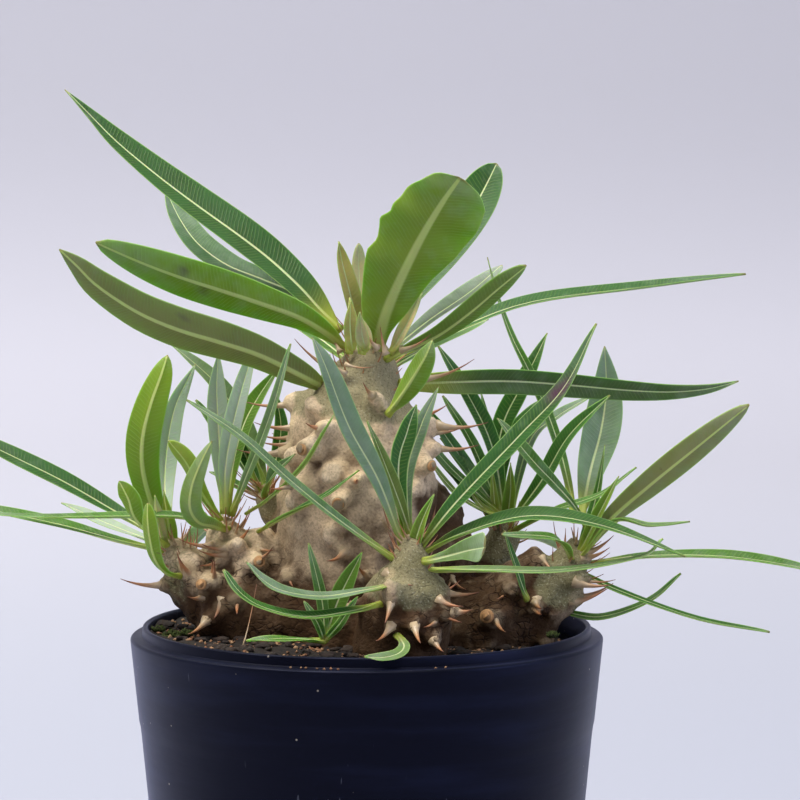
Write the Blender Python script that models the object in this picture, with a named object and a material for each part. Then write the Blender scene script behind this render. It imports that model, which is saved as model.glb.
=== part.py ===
"""A young pachypodium with spiny stems in a round black nursery pot.

Lengths are in millimetres until they reach a mesh. The origin is the middle of the pot's underside,
+Z is up, the front is towards -Y and the right-hand side is +X. Points of the plant are written as
(across, up, back): across and up are read on the upright plane through the pot's axis, as somebody
standing in front of the plant sees them, and back is how far behind that plane the point really is.
"""

import random
from math import cos, log, pi, radians, sin

import bmesh
import bpy
from mathutils import Vector
from mathutils.bvhtree import BVHTree

MM = 0.001
GAP = 0.3
EYE = Vector((7.4, -694.2, 198.6))

# The pot: a tapering wall, a shoulder, and a low collar standing on the shoulder.
POT_HEIGHT = 97.0
SHOULDER_RADIUS = 52.5
SHOULDER_HEIGHT = 94.6
BASE_RADIUS = 43.4
BAND_HEIGHT = 76.0
BAND_STEP = 0.5
COLLAR_RADIUS = 49.8
COLLAR_WALL = 1.2
WALL = 1.2
FLOOR = 1.6
POT_SIDES = 40
DRAIN_HOLES = 8
DRAIN_RADIUS = 3.5
DRAIN_CIRCLE = 30.0

# The soil lies higher on the left and at the front.
SOIL_LEVEL = 93.3
SOIL_SLOPE = (-0.05, -0.03)
SOIL_LUMP = 0.5
SOIL_RADIUS = COLLAR_RADIUS - COLLAR_WALL - GAP
SOIL_RINGS = (1, 0.9, 0.78, 0.64, 0.48, 0.3, 0.1)
SEEDLING_HOLE = 2.0
SEEDLING_DEPTH = 14.0

# The caudex stands in a hole of the soil that is wider by the clearance. Its stems and warts are run
# together on a grid of the grain's size and then thinned to a number of faces.
CAUDEX_BOTTOM = 85.0
ROOT_CLEARANCE = 2.0
STEM_SIDES = 14
TIP_SIDES = 10
BARK_GRAIN = 1.1
BARK_FACES = 2400
HOLE_GRAIN = 1.6
HOLE_FACES = 800
SMOOTH_SHARE = 0.5
SMOOTH_TIMES = 4
ROOT_CUT = 40.0

# Stems: rows of (across, up, back, radius), from the root end to the tip.
LIMBS = {
    "trunk": [
        (-1, 76, 0, 20), (-1, 98, 0, 19.5), (-2, 112, 0, 17.5), (-2, 124, 0, 18), (-2, 134, 0, 16.5),
        (-2.5, 142, 0, 14.5), (-2, 150, 0, 10),
    ],
    "left_arm": [(-4, 94, 0, 15), (-18, 98, -2, 13), (-30, 101, -3, 11), (-37, 102, -3, 9)],
    "left_outer": [(-34, 102, -3, 8), (-38.5, 106, -3, 7.2), (-41, 110, -3.5, 6.8)],
    "left_middle": [(-26, 104, -2, 9), (-29.5, 111, -2, 7.2), (-31, 116, -2, 5.6)],
    "left_inner": [(-13, 116, 5, 8), (-18, 120, 5, 5.5), (-21.5, 123.5, 5, 4.2)],
    "front": [(5, 76, -18, 11), (8, 95, -24, 10.5), (9, 102, -26.5, 9.5), (9.5, 107, -27.5, 8)],
    "right_arm": [(4, 91, 2, 14), (18, 95, 3, 11.5), (30, 97, 1, 11), (37, 98, 0, 8)],
    "right_outer": [(36, 99, 0, 8), (39.5, 103, -1, 6.4), (41.8, 106, -1, 5.8)],
    "right_inner": [(18, 98, 11, 8), (24, 104, 14, 6), (28, 110, 16, 5), (30, 115, 16.5, 4.4)],
    "back": [(-4, 94, 12, 12), (-6, 102, 21, 9.5), (-7, 109, 26, 7.5)],
}

# Green growing tips, one on each stem: rows like those of the stems.
TIPS = {
    "crown_main": [
        (-2, 145, 0, 12.2), (-1.5, 149, 0, 10), (0, 153, 0, 7.5), (0.5, 157, 0, 5.6), (0.5, 162, 0, 2.5),
    ],
    "crown_left_outer": [
        (-40.5, 109, -3.5, 6.4), (-43, 113.5, -4, 5.4), (-44.5, 117.5, -4, 4.2), (-45, 121, -4, 2),
    ],
    "crown_left_middle": [(-30.6, 115, -2, 5.4), (-31.5, 119, -2, 4.2), (-32, 123, -2, 1.8)],
    "crown_left_inner": [(-21, 122.5, 5, 3.9), (-22.5, 125.5, 4.5, 3.2), (-23, 128.5, 4, 1.5)],
    "crown_front": [
        (9.4, 105.5, -27.5, 7.4), (9.6, 109, -27.5, 5.8), (10, 113, -27.5, 3.6), (10.2, 116, -27.5, 1.8),
    ],
    "crown_right_inner": [(29.4, 113, 16.5, 4.2), (31, 117, 16, 3.6), (31, 121, 16, 1.6)],
    "crown_right_outer": [
        (41.6, 104.8, -1, 5.6), (44, 108.5, -1, 5), (46, 112, -1, 4), (47, 116, -1, 1.8),
    ],
    "crown_back": [(-6.8, 107.5, 25.4, 7), (-7, 111, 26.5, 5.2), (-7, 115, 27, 2)],
}

# The stem of a seedling that stands in the soil by itself.
SEEDLING_STEM = [(-9.5, 88, -34, 1.1), (-9.5, 94, -34, 1.1), (-9.5, 96.5, -34, 0.7)]

# A blade's outline: where it is widest, how full it is (smaller is fuller), how far its sides fold
# up from the midrib, and how many steps it takes along its length.
SHAPES = {
    "lance": (0.52, 0.85, 0.28, 6),
    "oval": (0.62, 0.62, 0.12, 12),
    "ribbon": (0.50, 0.60, 0.20, 5),
    "young": (0.36, 0.85, 0.45, 4),
}
BLADE = 0.7
STALK_SHARE = 0.25
STALK_WIDTH = 1.9
STALK_DEPTH = 1.5
TIP_WIDTH = 0.6
OVAL_WAVE = 0.9
OVAL_WAVES = 4.5

# Leaves: width, the direction that the upper side looks, the outline, and the midrib's points.
LEAVES = {
    "crown_main": [
        (9.5, (0.45, -0.7, 0.55), "lance",
         [(-2, 155, 0), (-8, 167, 1), (-21, 180, 5), (-40, 192, 9), (-66, 215, 12)]),
        (8.5, (0.5, -0.7, 0.5), "lance",
         [(-1, 156, 3), (-15, 171, 12), (-28, 176, 20), (-38, 182, 27), (-45, 193, 34)]),
        (9.0, (0.3, 0.75, 0.6), "lance",
         [(-1, 154, -1), (-8, 160, -9), (-26, 169, -18), (-44, 175, -25), (-60, 182, -30)]),
        (9.5, (0.3, 0.75, 0.6), "lance",
         [(-5, 148, -3), (-15, 152, -13), (-35, 159, -24), (-54, 168, -33), (-68, 180, -40)]),
        (21.0, (0.0, 1.0, 0.1), "oval",
         [(1, 155, -2), (4, 167, -8), (11, 181, -15), (17, 191, -20), (22, 198, -24)]),
        (14.0, (-0.3, -0.9, 0.3), "lance", [(2, 156, 2), (14, 171, 12), (23, 185, 19), (29, 199, 24)]),
        (6.5, (-0.4, -0.6, 0.7), "lance", [(2, 155, 3), (13, 164, 14), (23, 171, 26), (30, 177, 36)]),
        (8.5, (-0.4, 0.8, 0.5), "lance",
         [(1, 154, -3), (12, 160, -10), (25, 167, -16), (36, 177, -20)]),
        (7.0, (0.0, -0.25, 1.0), "lance",
         [(2, 154, 1), (23, 164, 6), (38, 169, 9), (61, 172, 14), (84, 175, 20)]),
        (8.5, (0.0, -0.3, 1.0), "lance",
         [(2, 149, 0), (21, 151, 3), (43, 151, 5), (65, 150, 8), (82, 151, 10)]),
        (7.0, (0.1, 1.0, 0.2), "lance", [(2, 148, -8), (7, 149, -17), (12, 155, -22), (15, 160, -24)]),
        (6.0, (0.3, -0.8, 0.3), "young", [(-1, 157, 0), (-3, 169, 0), (-5, 176, -1), (-6, 182, -1)]),
        (4.0, (0.0, -1.0, 0.0), "young", [(0, 157, 2), (-2, 171, 5), (-2, 182, 6)]),
        (8.0, (0.0, -1.0, 0.4), "lance", [(0, 156, 2), (8, 172, 25), (14, 184, 50)]),
        (8.0, (0.0, -0.4, 1.0), "lance", [(-2, 150, 5), (-4, 150, 32), (-6, 140, 58)]),
        (7.0, (0.3, -0.7, 0.6), "lance", [(-2, 154, 2), (-14, 163, 28), (-26, 168, 52)]),
        (7.0, (-0.3, -0.7, 0.6), "lance", [(2, 152, 3), (16, 160, 28), (27, 165, 50)]),
    ],
    "crown_left_outer": [
        (8.0, (0.2, 1.0, 0.0), "lance",
         [(-45, 117, -4), (-48, 125, -7), (-50, 136, -9), (-48, 147, -9), (-44, 157, -7)]),
        (5.0, (0.3, -1.0, 0.2), "lance",
         [(-44, 117, -2), (-45, 129, 8), (-43, 144, 13), (-38, 155, 16)]),
        (5.5, (0.5, 0.9, 0.2), "lance",
         [(-44, 114, -5), (-51, 120, -15), (-53, 125, -18), (-55, 129, -18)]),
        (5.0, (0.6, 0.8, 0.2), "lance",
         [(-42, 111, -6), (-47, 111, -18), (-49, 118, -22), (-49, 124, -23)]),
        (6.0, (0.4, -0.6, 0.8), "lance",
         [(-44, 115, -3), (-56, 122, 2), (-68, 129, 4), (-82, 136, 6), (-87, 139, 7)]),
        (5.0, (0.0, -0.3, 1.0), "lance",
         [(-44, 113, -5), (-57, 116, -8), (-68, 119, -9), (-82, 122, -10), (-87, 123, -10)]),
        (5.0, (0.3, -0.6, 0.7), "lance", [(-44, 114, -2), (-57, 119, 14), (-68, 124, 24)]),
    ],
    "crown_left_middle": [
        (7.5, (0.6, 0.8, 0.0), "lance",
         [(-31, 118, -3), (-37, 119, -12), (-39, 125, -17), (-37, 132, -19), (-34, 138, -19)]),
        (5.0, (0.7, 0.7, 0.2), "lance",
         [(-32, 119, -2), (-37, 127, -6), (-40, 133, -8), (-44, 138, -9)]),
        (5.0, (0.2, -1.0, 0.1), "lance", [(-32, 120, -2), (-33, 134, 1), (-33, 147, 3), (-33, 158, 4)]),
        (5.0, (-0.3, -0.9, 0.2), "lance",
         [(-32, 120, -1), (-31, 134, 4), (-29, 148, 8), (-23, 164, 12)]),
        (4.5, (-0.5, -0.8, 0.2), "lance",
         [(-31, 119, -3), (-26, 131, -14), (-21, 146, -22), (-17, 162, -26)]),
        (4.5, (-0.5, -0.8, 0.3), "lance",
         [(-31, 119, 0), (-27, 138, 8), (-21, 152, 12), (-13, 162, 15)]),
        (4.0, (0.0, -0.2, 1.0), "ribbon",
         [(-32, 119, -3), (-42, 121, -9), (-55, 121, -10.5), (-73, 121, -13), (-87, 122, -15)]),
        (6.0, (0.0, -0.3, 1.0), "lance", [(-31, 118, 0), (-36, 118, 25), (-41, 112, 46)]),
    ],
    "crown_left_inner": [
        (4.0, (0.0, -0.5, 1.0), "ribbon",
         [(-23, 124, 4), (-23, 125, -8), (-16, 127, -18), (-8, 129, -23), (-1, 132, -24)]),
        (4.0, (-0.5, 0.5, 0.5), "ribbon",
         [(-23, 125, 3), (-18, 131, -16), (-13, 136, -21), (-7, 144, -22)]),
        (3.5, (-0.4, -0.7, 0.5), "young", [(-23, 125, 4), (-21, 130, -8), (-16, 135, -13)]),
        (3.0, (0.3, -0.5, 0.8), "ribbon", [(-23, 125, 5), (-29, 128, 9), (-35, 131, 12)]),
        (3.5, (0.5, -0.7, 0.3), "young", [(-23, 126, 4), (-25, 131, 6), (-27, 136, 8)]),
        (6.0, (0.6, -0.6, 0.4), "lance",
         [(-22, 125, 6), (-26, 138, 14), (-33, 150, 20), (-44, 160, 26)]),
        (3.5, (0.6, -0.6, 0.4), "ribbon", [(-23, 125, 6), (-30, 136, 15), (-38, 147, 18)]),
    ],
    "crown_front": [
        (6.0, (0.6, -0.8, 0.3), "lance",
         [(9, 111, -27), (3, 128, -31), (-4, 141, -33), (-9, 154, -34), (-12, 161, -34)]),
        (6.0, (-0.5, -0.7, 0.5), "lance",
         [(10, 111, -27), (19, 123, -30), (34, 139, -33), (44, 150, -34), (51, 164, -33)]),
        (3.2, (0.4, -0.6, 0.7), "ribbon",
         [(8, 110, -28), (-6, 120, -33), (-17, 129, -35), (-28, 139, -36), (-40, 147, -35)]),
        (6.5, (0.0, -0.35, 1.0), "lance",
         [(11, 112, -27), (21, 117, -31), (36, 121, -36), (52, 119, -40), (71, 112, -44)]),
        (5.0, (0.0, -0.3, 1.0), "lance", [(10, 110, -31), (16, 112, -45), (26, 114, -62)]),
        (4.0, (0.0, -0.25, 1.0), "ribbon",
         [(10, 109, -29), (25, 109, -35), (43, 109, -39), (61, 112, -41), (66, 116, -41)]),
        (4.0, (0.0, -0.35, 1.0), "ribbon",
         [(9, 107, -31), (1, 105, -39), (-13, 104, -44), (-23, 107, -46), (-27, 110, -46)]),
        (4.0, (0.0, -0.35, 1.0), "ribbon",
         [(4, 107.5, -28), (0, 106, -36), (-1, 101.5, -42), (-15, 98, -47), (-27, 102, -50),
          (-32, 109, -50)]),
        (3.0, (-0.3, -0.9, 0.3), "young", [(10, 112, -27), (12, 119, -29), (15, 126, -30)]),
        (4.5, (0.3, -0.9, 0.2), "lance", [(9, 112, -26), (7, 131, -25), (9, 140, -24), (11, 146, -23)]),
        (3.8, (-0.3, -0.9, 0.2), "lance",
         [(10, 112, -25), (9, 130, -22), (12, 141, -21), (16, 150, -20)]),
    ],
    "crown_right_inner": [
        (4.5, (0.5, -0.8, 0.2), "lance", [(31, 118, 16), (28, 136, 13), (22, 149, 12), (16, 159, 10)]),
        (5.0, (-0.4, -0.9, 0.2), "lance", [(31, 118, 17), (31, 138, 19), (34, 150, 20), (40, 162, 20)]),
        (4.0, (-0.4, -0.5, 0.7), "lance", [(31, 117, 18), (36, 137, 26), (42, 143, 32), (50, 148, 38)]),
        (5.5, (-0.5, -0.7, 0.5), "lance", [(31, 118, 15), (39, 129, 7), (45, 139, 2), (54, 148, -4)]),
        (2.6, (0.0, -0.4, 1.0), "ribbon", [(31, 117, 15), (41, 122, 0), (52, 126, -5), (60, 132, -6)]),
        (2.8, (0.5, -0.6, 0.5), "ribbon", [(31, 117, 15), (24, 125, 11), (15, 135, 9)]),
        (3.2, (0.5, -0.7, 0.4), "ribbon", [(31, 118, 16), (24, 136, 16), (17, 148, 15)]),
        (3.0, (-0.3, -0.9, 0.2), "young", [(31, 118, 15), (32, 126, 12), (32, 133, 11)]),
        (6.0, (0.0, -0.4, 1.0), "lance", [(31, 116, 18), (38, 116, 38), (46, 112, 58)]),
    ],
    "crown_right_outer": [
        (2.6, (0.5, -0.8, 0.2), "ribbon",
         [(47, 112, -1), (43, 138, 9), (36, 155, 14), (30, 167, 17), (26, 179, 18)]),
        (4.0, (0.4, -0.8, 0.5), "ribbon", [(46, 112, -2), (41, 129, -8), (35, 136, -9), (29, 143, -8)]),
        (8.5, (-0.6, 0.7, 0.5), "lance",
         [(47, 111, -2), (54, 120, -9), (63, 128, -15), (74, 137, -19), (85, 146, -22)]),
        (9.0, (0.0, -1.0, 0.1), "lance", [(46, 112, 0), (50, 125, 11), (52, 140, 16), (51, 159, 18)]),
        (2.0, (-0.2, -0.9, 0.2), "young", [(47, 112, 0), (51, 125, 2), (53, 137, 3)]),
        (4.5, (0.0, -0.3, 1.0), "lance",
         [(47, 110, -2), (61, 112, -5), (79, 112, -8), (94, 110, -10), (103, 108, -11)]),
        (3.4, (0.0, -0.35, 1.0), "ribbon", [(46, 109, -2), (57, 104, -7), (74, 98, -9), (90, 95, -10)]),
        (3.6, (0.0, -0.5, 1.0), "ribbon",
         [(44, 107.5, -1), (49.5, 105, -1.5), (51, 100.5, -2), (61, 101, -3), (70, 107, -4)]),
        (2.2, (0.0, -0.3, 1.0), "ribbon",
         [(47, 111, -3), (55, 120, -17), (63, 119, -22), (72, 120, -24)]),
        (3.0, (-0.5, -0.8, 0.3), "young", [(47, 112, -3), (52, 122, -9), (56, 130, -11)]),
        (3.6, (0.2, -0.4, 0.9), "ribbon", [(46, 111, -3), (42, 116, -13), (30, 117, -18)]),
    ],
    "crown_back": [
        (7.0, (0.3, -0.8, 0.5), "lance", [(-7, 112, 27), (-9, 124, 40), (-13, 130, 58)]),
        (6.0, (-0.2, -0.8, 0.5), "lance", [(-7, 113, 27), (-2, 127, 36), (2, 135, 50)]),
        (6.0, (0.0, -0.3, 1.0), "lance", [(-6, 112, 27), (3, 118, 42), (10, 116, 62)]),
        (5.0, (0.0, -0.3, 1.0), "lance", [(-7, 111, 27), (-12, 114, 44), (-15, 106, 62)]),
        (5.0, (0.1, -1.0, 0.1), "lance", [(-7, 113, 27), (-9, 130, 30), (-11, 143, 34)]),
        (5.0, (-0.1, -1.0, 0.1), "lance", [(-7, 113, 27), (-2, 128, 29), (3, 142, 32)]),
    ],
    "seedling": [
        (2.5, (0.0, -1.0, 0.2), "ribbon", [(-9.5, 93, -34), (-10, 102, -34), (-13, 115, -35)]),
        (3.5, (-0.2, -1.0, 0.2), "lance", [(-9.5, 93, -34), (-6, 103, -33), (-1, 113, -34)]),
        (2.0, (0.2, -1.0, 0.2), "ribbon", [(-9.5, 93, -34), (-11, 97, -36), (-14, 102, -37)]),
        (2.0, (-0.2, -1.0, 0.2), "ribbon", [(-9.5, 93, -34), (-6, 97, -37), (-2, 103, -38)]),
        (2.4, (0.0, -0.3, 1.0), "ribbon", [(-9.5, 93, -34), (-18, 93.5, -37), (-27, 93, -38)]),
    ],
}

# Spines that show in outline: the middle of the wart that each one stands on, and its point.
SPINES = {
    "caudex": [
        ((-11, 146, 0), (-27, 147, 0)), ((-11, 140, -3), (-25, 142, -4)),
        ((-13, 135, -3), (-29, 136, -4)), ((8, 142, 0), (18, 146, 0)),
        ((9, 141, -2), (27, 142, -3)), ((10, 136, -3), (25, 137, -4)),
        ((-12, 128, -10), (-15, 128, -21)), ((-3, 114, -14), (-9, 111, -25)),
        ((-40, 105, -5), (-55, 107, -7)), ((-38, 106, -8), (-42, 112, -14)),
        ((-34, 105, -10), (-34, 111, -17)), ((-35, 103, -10), (-40, 103, -17)),
        ((-26, 110, -8), (-21, 114, -15)), ((-34, 99, -12), (-40, 94.5, -21)),
        ((-29, 104, -10), (-29, 99, -18)), ((6, 104, -33), (4, 97, -41)),
        ((7, 98, -32), (2, 93, -43)), ((10, 98, -33), (12, 92.5, -43)),
        ((14, 104, -29), (25, 104, -32)), ((15, 101, -29), (23, 100, -34)),
        ((27, 100, -6), (31, 95, -18)), ((37, 101, -6), (39, 99, -15)),
        ((42, 101, -3), (55, 106, -4)), ((41, 100, -4), (54, 105, -7)),
    ],
    "crown_main": [
        ((2, 156, -1), (12, 170, -3)), ((2, 154, -3), (14, 162, -6)), ((1, 155, -5), (0, 161, -10)),
        ((-5, 152, -2), (-20, 162, -4)), ((4, 149, -4), (23, 156, -7)), ((-5, 150, -6), (-9, 156, -12)),
    ],
    "crown_right_outer": [((46, 110, -2), (55, 117, -5)), ((46, 109, -2), (54, 113.5, -6))],
}

# A growing tip sits on a flat seat cut across the end of its stem, and a spine stands on a wart.
SOCKET_LENGTH = 25.0
SOCKET_MARGIN = 1.4
WART_RADIUS = 2.8
WART_SIDES = 6
WART_SHARE = 0.45
NEEDLE_RADIUS = 0.55
POINT_RADIUS = 0.2
NEEDLE_SIDES = 3
NEEDLE_ROOT = 2.8

# Spines that fill the bark: one wart at each turn of a spiral up a stem, with a pair of needles.
SPIRAL_TURN = radians(137.5)
SPIRAL_STEP = 4.2
WART_HEIGHT = 3.0
WART_SINK = 2.0
WART_SPACING = 2.2 * WART_RADIUS
PAIR_LENGTH = 6.5
PAIR_SPREAD = 0.35
PAIR_RISE = Vector((0, 0, 0.15))
LOWEST_WART = 99.0
SEED = 7

POT_BLACK = (0.011, 0.012, 0.018)
SOIL_BROWN = (0.030, 0.018, 0.012)
LEAF_GREEN = (0.060, 0.155, 0.045)
BARK_BEIGE = (0.36, 0.27, 0.19)


def seen(across, up, back):
    """The point that stands `back` behind the middle plane where (across, up) is seen from the front."""
    return EYE + (Vector((across, 0, up)) - EYE) * ((back - EYE.y) / -EYE.y)


def smooth_line(points, steps):
    """Spots at even steps along a smooth curve through the points."""
    chain = [2 * points[0] - points[1]] + points + [2 * points[-1] - points[-2]]
    line = []
    for step in range(steps + 1):
        place = step / steps * (len(points) - 1)
        part = min(int(place), len(points) - 2)
        t = place - part
        a, b, c, d = chain[part:part + 4]
        bend = (2 * a - 5 * b + 4 * c - d) * t ** 2 + (3 * b - a - 3 * c + d) * t ** 3
        line.append(0.5 * (2 * b + (c - a) * t + bend))
    return line


def along(line, step):
    """The direction of the line at one of its spots."""
    return (line[min(step + 1, len(line) - 1)] - line[max(step - 1, 0)]).normalized()


def new_object(name, bm):
    """A mesh object in metres made from a bmesh in millimetres."""
    bmesh.ops.recalc_face_normals(bm, faces=bm.faces)
    bmesh.ops.scale(bm, vec=(MM, MM, MM), verts=bm.verts)
    mesh = bpy.data.meshes.new(name)
    bm.to_mesh(mesh)
    bm.free()
    obj = bpy.data.objects.new(name, mesh)
    bpy.context.scene.collection.objects.link(obj)
    return obj


def loft(name, rings):
    """A closed body through rings of points, with flat ends."""
    bm = bmesh.new()
    loops = [[bm.verts.new(spot) for spot in ring] for ring in rings]
    size = len(rings[0])
    for low, high in zip(loops, loops[1:]):
        for i in range(size):
            j = (i + 1) % size
            bm.faces.new((low[i], low[j], high[j], high[i]))
    bm.faces.new(loops[0])
    bm.faces.new(loops[-1])
    return new_object(name, bm)


def tube(name, line, radii, sides):
    """A round closed body along a line."""
    rings = []
    across = along(line, 0).orthogonal().normalized()
    for step, (spot, radius) in enumerate(zip(line, radii)):
        ahead = along(line, step)
        across = (across - ahead * across.dot(ahead)).normalized()
        up = ahead.cross(across)
        rings.append([spot + radius * (cos(a) * across + sin(a) * up)
                      for a in (2 * pi * i / sides for i in range(sides))])
    return loft(name, rings)


def stem(name, rows, sides, extra=0.0):
    """A stem through rows of (across, up, back, radius)."""
    line = [seen(*row[:3]) for row in rows]
    line[0] -= along(line, 0) * extra
    line[-1] += along(line, len(line) - 1) * extra
    return tube(name, line, [row[3] + extra for row in rows], sides)


def blade(name, width, face, outline, points):
    """One leaf: a thin folded blade that starts as a round stalk."""
    widest, fullness, fold, steps = SHAPES[outline]
    line = smooth_line([seen(*point) for point in points], steps)
    power = log(0.5) / log(widest)
    rings = []
    for step, spot in enumerate(line):
        t = step / steps
        ahead = along(line, step)
        upper = Vector(face)
        upper = (upper - ahead * upper.dot(ahead)).normalized()
        side = ahead.cross(upper)
        stalk = max(0.0, 1 - t / STALK_SHARE)
        least = STALK_WIDTH if t < 0.5 else TIP_WIDTH
        half = max(width * sin(pi * t ** power) ** fullness, least) / 2
        thick = BLADE + (STALK_DEPTH - BLADE) * stalk
        lift = upper * (fold * half * (1 - stalk))
        wave = Vector()
        if outline == "oval" and 0 < t < 1:
            wave = OVAL_WAVE * sin(2 * pi * OVAL_WAVES * t) * upper
        low = upper * thick / 2
        left, right = spot - side * half + lift + wave, spot + side * half + lift - wave
        rings.append([left + low, spot + low, right + low, right - low, spot - low, left - low])
    return folded(name, rings)


def folded(name, rings):
    """A blade's body from rings of six points, split into triangles alike on both faces."""
    bm = bmesh.new()
    loops = [[bm.verts.new(spot) for spot in ring] for ring in rings]
    mirrored = {0: 4, 1: 3}
    for low, high in zip(loops, loops[1:]):
        for i, m in mirrored.items():
            bm.faces.new((low[i], low[i + 1], high[i + 1]))
            bm.faces.new((low[i], high[i + 1], high[i]))
            bm.faces.new((low[m + 1], high[m], low[m]))
            bm.faces.new((low[m + 1], high[m + 1], high[m]))
        for i, j in ((2, 3), (5, 0)):
            bm.faces.new((low[i], low[j], high[j], high[i]))
    for loop in (loops[0], loops[-1]):
        bm.faces.new((loop[0], loop[1], loop[4], loop[5]))
        bm.faces.new((loop[1], loop[2], loop[3], loop[4]))
    return new_object(name, bm)


def settle(obj):
    """Turns what the object's modifiers make into its own mesh."""
    graph = bpy.context.evaluated_depsgraph_get()
    mesh = bpy.data.meshes.new_from_object(obj.evaluated_get(graph))
    obj.modifiers.clear()
    obj.data = mesh


def unite(obj, pieces):
    """Joins the pieces to the object and to each other."""
    group = bpy.data.collections.new("pieces")
    bpy.context.scene.collection.children.link(group)
    for piece in pieces:
        bpy.context.scene.collection.objects.unlink(piece)
        group.objects.link(piece)
    join = obj.modifiers.new("join", "BOOLEAN")
    join.operation = "UNION"
    join.operand_type = "COLLECTION"
    join.collection = group
    settle(obj)
    for piece in list(group.objects):
        bpy.data.objects.remove(piece)
    bpy.data.collections.remove(group)


def cut(obj, cutter):
    """Takes the cutter's shape out of the object."""
    cutter.hide_render = True
    cutter.display_type = "WIRE"
    hole = obj.modifiers.new("hole", "BOOLEAN")
    hole.operation = "DIFFERENCE"
    hole.object = cutter
    settle(obj)
    bpy.data.objects.remove(cutter)


def shade_round(obj, degrees):
    """Smooth shading, with the edges sharper than the angle left crisp."""
    obj.data.shade_smooth()
    obj.data.set_sharp_from_angle(angle=radians(degrees))


def paint(obj, colour, roughness):
    """Gives the object a material of its own."""
    material = bpy.data.materials.new(obj.name)
    material.use_nodes = True
    shader = material.node_tree.nodes["Principled BSDF"]
    shader.inputs["Base Color"].default_value = (*colour, 1)
    shader.inputs["Roughness"].default_value = roughness
    obj.data.materials.clear()
    obj.data.materials.append(material)


def turned(name, profile, sides):
    """A body turned round the pot's axis from a profile of (radius, height), bottom to top."""
    return loft(name, [[Vector((radius * cos(2 * pi * i / sides), radius * sin(2 * pi * i / sides), height))
                        for i in range(sides)] for radius, height in profile])


def pot_profile():
    """The pot's outer side, from the floor up to the collar, then its inner side down to the floor."""
    band_radius = SHOULDER_RADIUS - (SHOULDER_RADIUS - BASE_RADIUS) * (1 - BAND_HEIGHT / SHOULDER_HEIGHT)
    inner_collar = COLLAR_RADIUS - COLLAR_WALL
    return [
        (BASE_RADIUS - 1.4, 0), (BASE_RADIUS, 1.5),
        (band_radius - BAND_STEP, BAND_HEIGHT - 0.5), (band_radius, BAND_HEIGHT),
        (SHOULDER_RADIUS, SHOULDER_HEIGHT - 1.2), (SHOULDER_RADIUS - 0.7, SHOULDER_HEIGHT),
        (COLLAR_RADIUS + 0.2, SHOULDER_HEIGHT), (COLLAR_RADIUS, POT_HEIGHT - 0.4),
        (COLLAR_RADIUS - 0.4, POT_HEIGHT), (inner_collar + 0.3, POT_HEIGHT), (inner_collar, POT_HEIGHT - 0.4),
        (inner_collar, SHOULDER_HEIGHT - 1.0), (SHOULDER_RADIUS - WALL - 0.8, SHOULDER_HEIGHT - 3.5),
        (band_radius - BAND_STEP - WALL, BAND_HEIGHT - 0.5), (BASE_RADIUS - WALL, FLOOR),
    ]


def make_pot():
    """The hollow pot with drain holes in its floor."""
    pot = turned("pot", pot_profile(), POT_SIDES)
    for i in range(DRAIN_HOLES):
        angle = 2 * pi * i / DRAIN_HOLES
        foot = Vector((DRAIN_CIRCLE * cos(angle), DRAIN_CIRCLE * sin(angle), -1))
        cut(pot, tube("drain", [foot, foot + Vector((0, 0, 2 + FLOOR))], [DRAIN_RADIUS] * 2, 8))
    shade_round(pot, 30)
    paint(pot, POT_BLACK, 0.38)
    return pot


def soil_height(x, y):
    """The soil's surface: a gentle slope with lumps."""
    lumps = sin(0.31 * x + 1) * cos(0.27 * y) + 0.6 * sin(0.53 * y - 0.2 * x)
    return SOIL_LEVEL + SOIL_SLOPE[0] * x + SOIL_SLOPE[1] * y + SOIL_LUMP * lumps


def make_soil():
    """The soil fills the pot, with a hole for the caudex and one for the seedling."""
    circle = [(cos(2 * pi * i / POT_SIDES), sin(2 * pi * i / POT_SIDES)) for i in range(POT_SIDES)]
    inner_base = BASE_RADIUS - WALL - GAP
    sides = [(inner_base, FLOOR + GAP), (SOIL_RADIUS + 0.2, BAND_HEIGHT - 1)]
    sides.append((SOIL_RADIUS, SHOULDER_HEIGHT - 8))
    rings = [[Vector((r * x, r * y, z)) for x, y in circle] for r, z in sides]
    for share in SOIL_RINGS:
        r = share * SOIL_RADIUS
        rings.append([Vector((r * x, r * y, soil_height(r * x, r * y))) for x, y in circle])
    soil = loft("soil", rings)
    cut(soil, grown_stems("caudex_hole", [], ROOT_CLEARANCE, HOLE_GRAIN, HOLE_FACES))
    foot = seen(*SEEDLING_STEM[0][:3])
    ends = [foot - Vector((0, 0, GAP)), foot + Vector((0, 0, SEEDLING_DEPTH))]
    cut(soil, tube("seedling_hole", ends, [SEEDLING_HOLE] * 2, TIP_SIDES))
    shade_round(soil, 60)
    paint(soil, SOIL_BROWN, 0.95)
    return soil


def joined(name, objects):
    """One object that holds the meshes of them all."""
    bm = bmesh.new()
    for obj in objects:
        bm.from_mesh(obj.data)
        bpy.data.objects.remove(obj)
    mesh = bpy.data.meshes.new(name)
    bm.to_mesh(mesh)
    bm.free()
    obj = bpy.data.objects.new(name, mesh)
    bpy.context.scene.collection.objects.link(obj)
    return obj


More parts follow.
